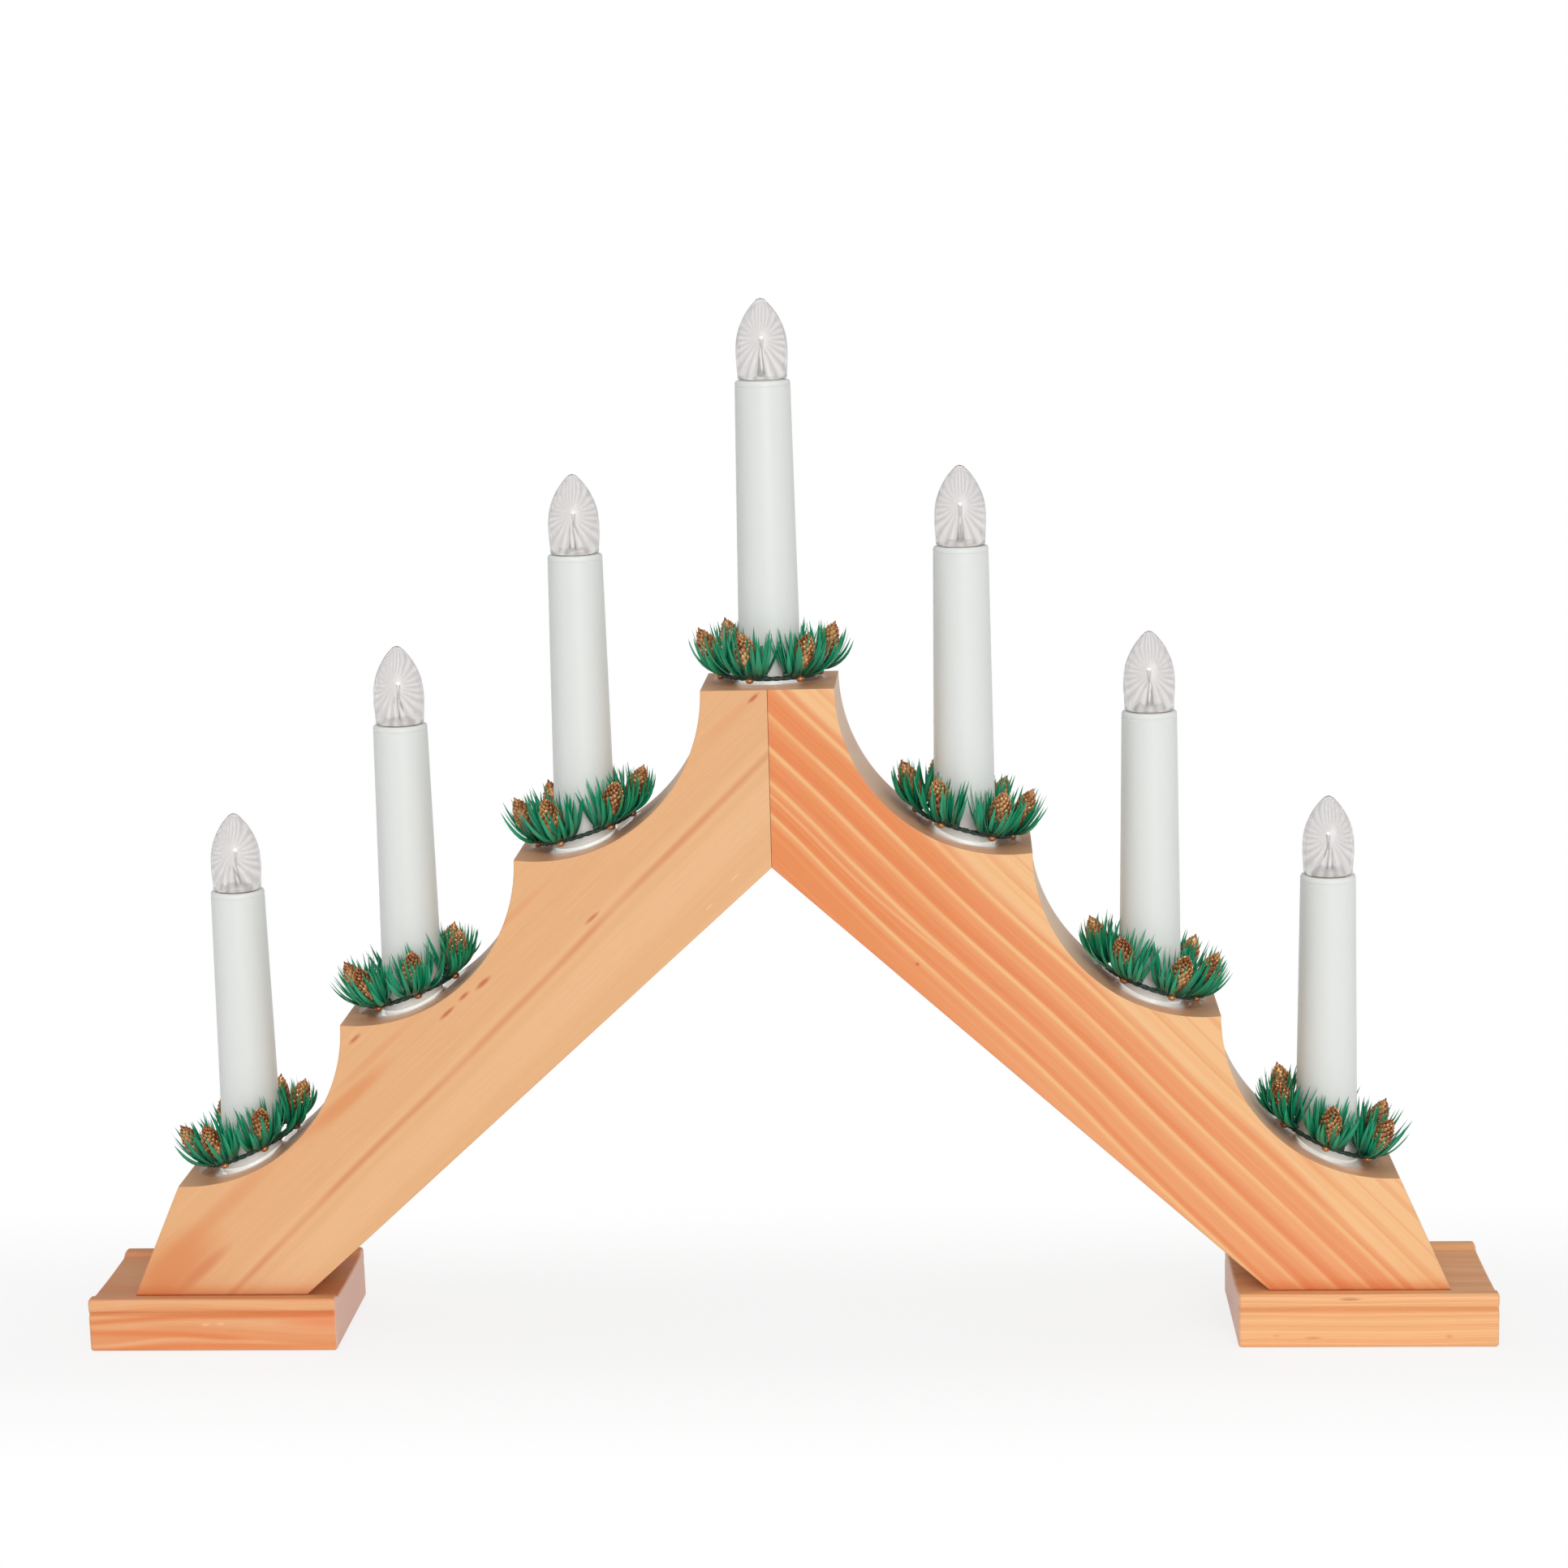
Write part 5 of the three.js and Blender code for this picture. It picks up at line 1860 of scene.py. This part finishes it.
@dataclass(frozen=True)
class Wreath:
    """A wire ring with sprigs of needles, and a pine cone and a bead on each sprig."""

    layout: ArchLayout
    finishes: Finishes
    place: Place
    ring: float = 13.5
    wire: float = 0.5
    twist: float = 0.2
    stack: float = 2.5
    sprigs: int = 6
    needles: int = 50
    limit: float = 23.7
    upright: float = 0.75
    turns: tuple[float, ...] = (0, -10, 5, 10, 0, -10, 25)
    spread: float = 18.0
    long_needles: tuple[float, float] = (10.4, 14.0)
    short_needles: tuple[float, float] = (6.0, 8.4)
    needle_width: float = 1.2
    needle_thickness: float = 0.3
    cone_leans: tuple[float, float] = (18, 29)
    seed: int = 700
    strand_turns: int = 17

    @property
    def reach(self) -> float:
        """Distance of the ring's plane from the scallop's axis."""
        return math.sqrt((self.layout.scallop - self.stack) ** 2 - self.ring**2)

    @property
    def tilt(self) -> float:
        """How far the ring is turned about Y, in radians."""
        ledge, side = self.place.ledge, self.place.side
        return side * math.asin((ledge.centre - ledge.candle) / self.reach) if side else 0.0

    def matrix(self) -> Matrix:
        """Places the wreath, whose own frame has the ring in the XY plane.

        Returns:
            The place.
        """
        ledge, side = self.place.ledge, self.place.side
        height = ledge.top - self.reach * math.cos(self.tilt) if side else ledge.height + self.stack
        return Matrix.Translation((self.place.x, 0, height)) @ Matrix.Rotation(self.tilt, 4, "Y")

    def bearings(self, random: np.random.Generator) -> list[float]:
        """Spreads the sprigs round the ring.

        Args:
            random: where chance comes from.
        Returns:
            The turn of each sprig, in radians.
        """
        start = self.turns[self.place.number - 1]
        steps = [k + 0.08 * random.uniform(-1, 1) for k in range(self.sprigs)]
        return [math.radians(start + 360 * step / self.sprigs) for step in steps]

    def roots(self, bearings: Sequence[float], random: np.random.Generator) -> Form:
        """Makes a point for each needle, with its aim and lean in metres.

        Args:
            bearings: the turn of each sprig, in radians.
            random: where chance comes from.
        Returns:
            The points.
        """
        verts, aims, leans = [], [], []
        straighten = np.array(Matrix.Rotation(-self.upright * self.tilt, 3, "Y"))
        for middle in bearings:
            for index in range(self.needles):
                along = 2 * (index + random.uniform(0, 1)) / self.needles - 1
                out = 1 - 1.8 * random.uniform(0, 1) ** 1.25
                front = index % 6 == 0
                if front:
                    along, out = random.uniform(-0.42, 0.42), random.uniform(0.15, 0.4)
                turn = middle + along * math.radians(self.spread)
                radial = np.array([math.cos(turn), math.sin(turn), 0])
                aside = np.array([-math.sin(turn), math.cos(turn), 0])
                rise = random.uniform(*(self.short_needles if front else self.long_needles))
                rise -= 3.4 * max(out, 0) ** 2 + 1.6 * abs(along) ** 3
                flat = radial * (8.4 * out + 0.6) + aside * (3.6 * along + random.normal(0, 1.0))
                root = radial * (self.ring + (1.9 if front else 1.1 * out))
                root = root + np.array([0, 0, random.uniform(0.4, 1.1)])
                whole = straighten @ (flat + np.array([0, 0, rise]))
                early = 0.6 - 0.35 * max(out, 0.0)
                aim = whole * np.array([1.7 - early, 1.7 - early, early])
                tip = root + whole
                over = np.hypot(tip[0], tip[1]) - self.limit
                if over > 0:
                    aim -= radial * over
                    whole = whole - radial * over
                verts.append(root)
                aims.append(aim * MM)
                leans.append((whole - aim) * MM)
        return Form().add(np.array(verts), [], aim=np.array(aims), lean=np.array(leans))

    def build(self, needles: Tree, cone: Form) -> None:
        """Builds the wreath's pieces.

        Args:
            needles: the tree that grows the needles.
            cone: the form of a pine cone.
        """
        number = self.place.number
        random = np.random.default_rng(self.seed + number)
        body, matrix, bearings = f"wreath_{number}", self.matrix(), self.bearings(random)
        mesh = self.roots(bearings, random).mesh(f"{body}_roots", outward=False)
        sizes = dict(Width=self.needle_width * MM, Thickness=self.needle_thickness * MM,
                     Seed=number)
        grown = needles.grow(mesh, f"{body}_needles", Material=self.finishes.needles, **sizes)
        metres = matrix.copy()
        metres.translation *= MM
        grown.transform(metres)
        settle(show(grown, f"{body}_needles", self.finishes.needles, 30), body, "needle_green",
               body)
        cones, beads, bases = Form(), Form(), Form()
        bead = lathe([(0, -1.4), (0.75, -1.25), (1.15, -0.8), (1.2, -0.3), (0.85, 0.25), (0, 0.6)],
                     16)
        for bearing in bearings:
            around = matrix @ Matrix.Rotation(bearing, 4, "Z")
            lean = math.radians(random.uniform(*self.cone_leans))
            foot = around @ Vector((self.ring + 0.8, 0, 2.0))
            level = Matrix.Rotation((1 - self.upright) * self.tilt, 4, "Y")
            stand = Matrix.Translation(foot) @ level
            stand = stand @ Matrix.Rotation(bearing, 4, "Z") @ Matrix.Rotation(lean, 4, "Y")
            spin = Matrix.Rotation(random.uniform(0, 6.28), 4, "Z")
            spin = spin @ Matrix.Scale(random.uniform(0.93, 1.03), 4)
            cones.join(cone, stand @ spin)
            beads.join(bead, around @ Matrix.Translation((self.ring + 0.5, 0, 0)))
            turn = np.radians(np.linspace(-21, 21, len(BASE_RADII)))
            spine = np.column_stack([self.ring * np.cos(turn), self.ring * np.sin(turn),
                                     np.full(len(turn), 1.0)])
            bases.join(sweep(spine, BASE_RADII, 12), around)
        settle(cones.piece(f"{body}_cones", self.finishes.copper, 25), body, "cone_copper")
        # The beads are tinted evenly a fifth of the way to the cones' highlight colour.
        beads.values = {"painted_highlight": [np.full(beads.count, 0.2)]}
        settle(beads.piece(f"{body}_beads", self.finishes.copper, 60), body, "cone_copper")
        # The bases have no along or shade values, so they take the needles' darkest colour, the
        # painted shade at the root.
        settle(bases.piece(f"{body}_bases", self.finishes.needles, 60), body, "needle_green")
        wires = Form()
        turns = np.linspace(0, 2 * math.pi, 180, endpoint=False)
        for strand in (0, math.pi):
            twist = self.strand_turns * turns + strand
            reach = self.ring + self.twist * np.cos(twist)
            points = np.column_stack([reach * np.cos(turns), reach * np.sin(turns),
                                      self.twist * np.sin(twist)])
            wires.join(sweep(points, [self.wire] * len(points), 8, closed=True), matrix)
        settle(wires.piece(f"{body}_ring", self.finishes.wire, 60), body, "ring_wire")


@dataclass(frozen=True)
class Leads:
    """The insulated leads that link the lamp holders through the groove."""

    layout: ArchLayout
    finishes: Finishes
    places: tuple[Place, ...]
    radius: float = 0.78
    side: float = 1.2
    spread: float = 2.0

    @property
    def depth(self) -> float:
        """How deep a lead's axis lies in the groove."""
        return self.layout.groove - self.layout.lead_radius - GAP

    def groove_line(self, x: float) -> float:
        """Height of a lead in the groove."""
        depth = self.depth
        return max(self.layout.underside(x, depth), self.layout.bottom + depth)

    def along(self, start: float, end: float, y: float) -> list[Point]:
        """Corners of a lead that lies in the groove.

        Args:
            start, end: how far it runs, in X.
            y: its place across the groove.
        Returns:
            The corners.
        """
        depth = self.depth
        drop = self.layout.underside(0, depth) - self.layout.bottom - depth
        knee = drop / math.tan(math.radians(self.layout.slope))
        turns = [turn for turn in (-knee, 0.0, knee) if start < turn < end]
        return [(x, y, self.groove_line(x)) for x in (start, *turns, end)]

    def top_end(self, place: Place) -> float:
        """Where a lead ends under a lamp holder."""
        return place.ledge.height + self.layout.tube_rise - self.layout.holder_depth - GAP

    def add(self, node: str, corners: Sequence[Sequence[float]]) -> None:
        """Builds one lead in place of its node.

        Args:
            node: the lead's node.
            corners: the corners of its route.
        """
        route = bend(corners, 3.0, 6)
        form = sweep(route, [self.radius] * len(route), 14)
        settle(form.piece(f"{node}_wire", self.finishes.insulation, 50), "arch", "lead_insulation",
               node)

    def build(self) -> None:
        """Builds every lead."""
        for first, second in zip(self.places, self.places[1:]):
            start, end = first.x + self.spread, second.x - self.spread
            corners = [(start, self.side, self.top_end(first)), *self.along(start, end, self.side),
                       (end, self.side, self.top_end(second))]
            self.add(f"lead_{first.number}_to_{second.number}", corners)
        first, last = self.places[0], self.places[-1]
        mouth = self.layout.thickness / 2 - 1
        height = self.layout.inlet(first.ledge)
        x = first.x - self.spread
        corners = [(x, mouth, height), (x, self.side, height), (x, self.side, self.top_end(first))]
        self.add("lead_feed", corners)
        end = last.x + self.spread
        corners = [(first.x, mouth, height), (first.x, -self.side, height),
                   *self.along(first.x, end, -self.side), (end, -self.side, self.top_end(last))]
        self.add("lead_return", corners)


@dataclass(frozen=True)
class Studio:
    """Camera, lights, floor and background.

    Args:
        focal: focal length in pixels of a frame this many pixels wide.
        frame: width of the frame in pixels.
        principal: where the camera's axis meets the frame.
        eye: place of the camera in metres.
        yaw, pitch, roll: its turn in degrees.
        key, fill: strengths of the two suns.
        ambient, mirrored: strength of the world as light, and in reflections.
        sensor: width of the camera's sensor.
        floor_half, floor_drop: half the floor's width, and how far it lies under the feet.
    """

    focal: float = 4038.05
    frame: float = 1932.0
    principal: tuple[float, float] = (863.29, 1034.91)
    eye: Point = (0.05198, -0.90602, 0.32320)
    yaw: float = 4.599
    pitch: float = 11.22
    roll: float = 1.772
    key: float = 1.35
    fill: float = 0.4
    ambient: float = 0.5
    mirrored: float = 0.5
    sensor: float = 36.0
    floor_half: float = 6.0
    floor_drop: float = 0.0002

    def camera(self) -> None:
        """Sets the camera at the photograph's viewing angle."""
        yaw, pitch, roll = (math.radians(a) for a in (self.yaw, self.pitch, self.roll))
        forward = np.array([-math.sin(yaw) * math.cos(pitch), math.cos(yaw) * math.cos(pitch),
                            -math.sin(pitch)])
        right = np.array([math.cos(yaw), math.sin(yaw), 0.0])
        up = np.cross(right, forward)
        right, up = (math.cos(roll) * right - math.sin(roll) * up,
                     math.sin(roll) * right + math.cos(roll) * up)
        data = bpy.data.cameras.new("camera")
        data.sensor_width = self.sensor
        data.lens = self.focal / self.frame * self.sensor
        data.shift_x = (self.frame / 2 - self.principal[0]) / self.frame
        data.shift_y = (self.principal[1] - self.frame / 2) / self.frame
        data.clip_start, data.clip_end = 0.05, 20.0
        camera = linked("camera", data)
        turn = Matrix(np.column_stack([right, up, -forward]).tolist()).to_4x4()
        camera.matrix_world = Matrix.Translation(self.eye) @ turn
        bpy.context.scene.camera = camera

    def sun(self, name: str, strength: float, aim: Sequence[float], spread: float) -> None:
        """Adds a soft sun that shines along aim.

        Args:
            name: the lamp's name.
            strength: its strength.
            aim: where it shines.
            spread: its angle in degrees.
        """
        data = bpy.data.lights.new(name, "SUN")
        data.energy = strength
        data.angle = math.radians(spread)
        turn = Vector(aim).to_track_quat("-Z", "Y").to_euler()
        linked(name, data).rotation_euler = turn

    def world(self) -> None:
        """White to the eye and in reflections, and a plain soft light for everything else."""
        world = bpy.data.worlds.new("studio")
        bpy.context.scene.world = world
        world.use_nodes = True
        nodes = Nodes(world.node_tree)
        path = nodes.add("ShaderNodeLightPath")
        strength = self.ambient
        for name, level in (("Is Glossy Ray", self.mirrored), ("Is Transmission Ray", 1.0),
                            ("Is Camera Ray", 1.0)):
            blend = nodes.add("ShaderNodeMix")
            for index, value in ((0, path.outputs[name]), (2, strength), (3, level)):
                nodes.feed(blend.inputs[index], value)
            strength = blend.outputs[0]
        back = world.node_tree.nodes["Background"]
        nodes.feed(back.inputs["Strength"], strength)
        nodes.feed(back.inputs["Color"], (1, 1, 1))

    def floor(self) -> None:
        """A plain pale floor that keeps the object's shadow and fades to white with distance."""
        mesh = bpy.data.meshes.new("floor")
        half, low = self.floor_half, -self.floor_drop
        corners = [(-half, -half, low), (half, -half, low), (half, half, low), (-half, half, low)]
        mesh.from_pydata(corners, [], [(0, 1, 2, 3)])
        s = Shader("floor")
        s.finish(Base_Color=(0.86, 0.86, 0.86), Roughness=1.0, Specular_IOR_Level=0.0)
        glow = s.add("ShaderNodeEmission")
        s.feed(glow.inputs["Color"], (1, 1, 1))
        s.feed(glow.inputs["Strength"], 1.0)
        away = s.math("ABSOLUTE", s.dot(s.place(), (0, 1, 0)))
        aside = s.math("SUBTRACT", s.math("ABSOLUTE", s.dot(s.place(), (1, 0, 0))), 0.2)
        aside = s.math("MAXIMUM", aside, 0.0)
        far = s.smooth(s.math("MAXIMUM", away, aside), 0.02, 0.12, 0.8, 1.0)
        path = s.add("ShaderNodeLightPath")
        seen = s.math("MAXIMUM", path.outputs["Is Glossy Ray"], path.outputs["Is Transmission Ray"])
        seen = s.math("MAXIMUM", path.outputs["Is Camera Ray"], seen)
        blend = s.add("ShaderNodeMixShader")
        s.feed(blend.inputs[0], s.math("MULTIPLY", far, seen))
        s.feed(blend.inputs[1], s.surface.outputs[0])
        s.feed(blend.inputs[2], glow.outputs[0])
        s.feed(s.output.inputs["Surface"], blend.outputs[0])
        mesh.materials.append(s.material)
        linked("floor", mesh)

    def build(self) -> None:
        """Builds the studio."""
        self.camera()
        self.world()
        self.floor()
        self.sun("key", self.key, (-0.25, 1.0, -0.30), 35.0)
        self.sun("top", self.fill, (0.15, 0.25, -1.0), 60.0)
        bpy.context.scene.view_settings.view_transform = "Standard"


def build_arch(layout: ArchLayout) -> None:
    """Builds every piece of the arch.

    Args:
        layout: the arch's sizes.
    """
    finishes = Finishes()
    ledges = layout.ledges
    places = []
    for index in range(-layout.steps, layout.steps + 1):
        side = (index > 0) - (index < 0)
        ledge = ledges[abs(index)]
        places.append(Place(index + layout.steps + 1, side, ledge, side * ledge.candle))
    for side in (-1, 1):
        Arm(layout, finishes, side).build()
        Foot(layout, finishes, side).build()
        LOG.info("arm and foot %+d built", side)
    for node in frame["nodes"]:
        if node.startswith("foot_screw"):
            WoodScrew(finishes).build(node)
        if node.startswith("mitre_dowel"):
            for slot in frame["nodes"][node].material_slots:
                slot.material = finishes.beech
    needles, scales = needle_tree(), scale_tree()
    cone = PineCone(finishes).form(scales)
    for place in places:
        Candle(layout, finishes, place).build()
        Wreath(layout, finishes, place).build(needles, cone)
        LOG.info("candle %d built", place.number)
    Leads(layout, finishes, tuple(places)).build()


def main() -> None:
    """Builds the looks and the studio."""
    logging.basicConfig(level=logging.INFO, format="%(message)s")
    build_arch(ArchLayout())
    Studio().build()


if __name__ == "__main__":
    main()
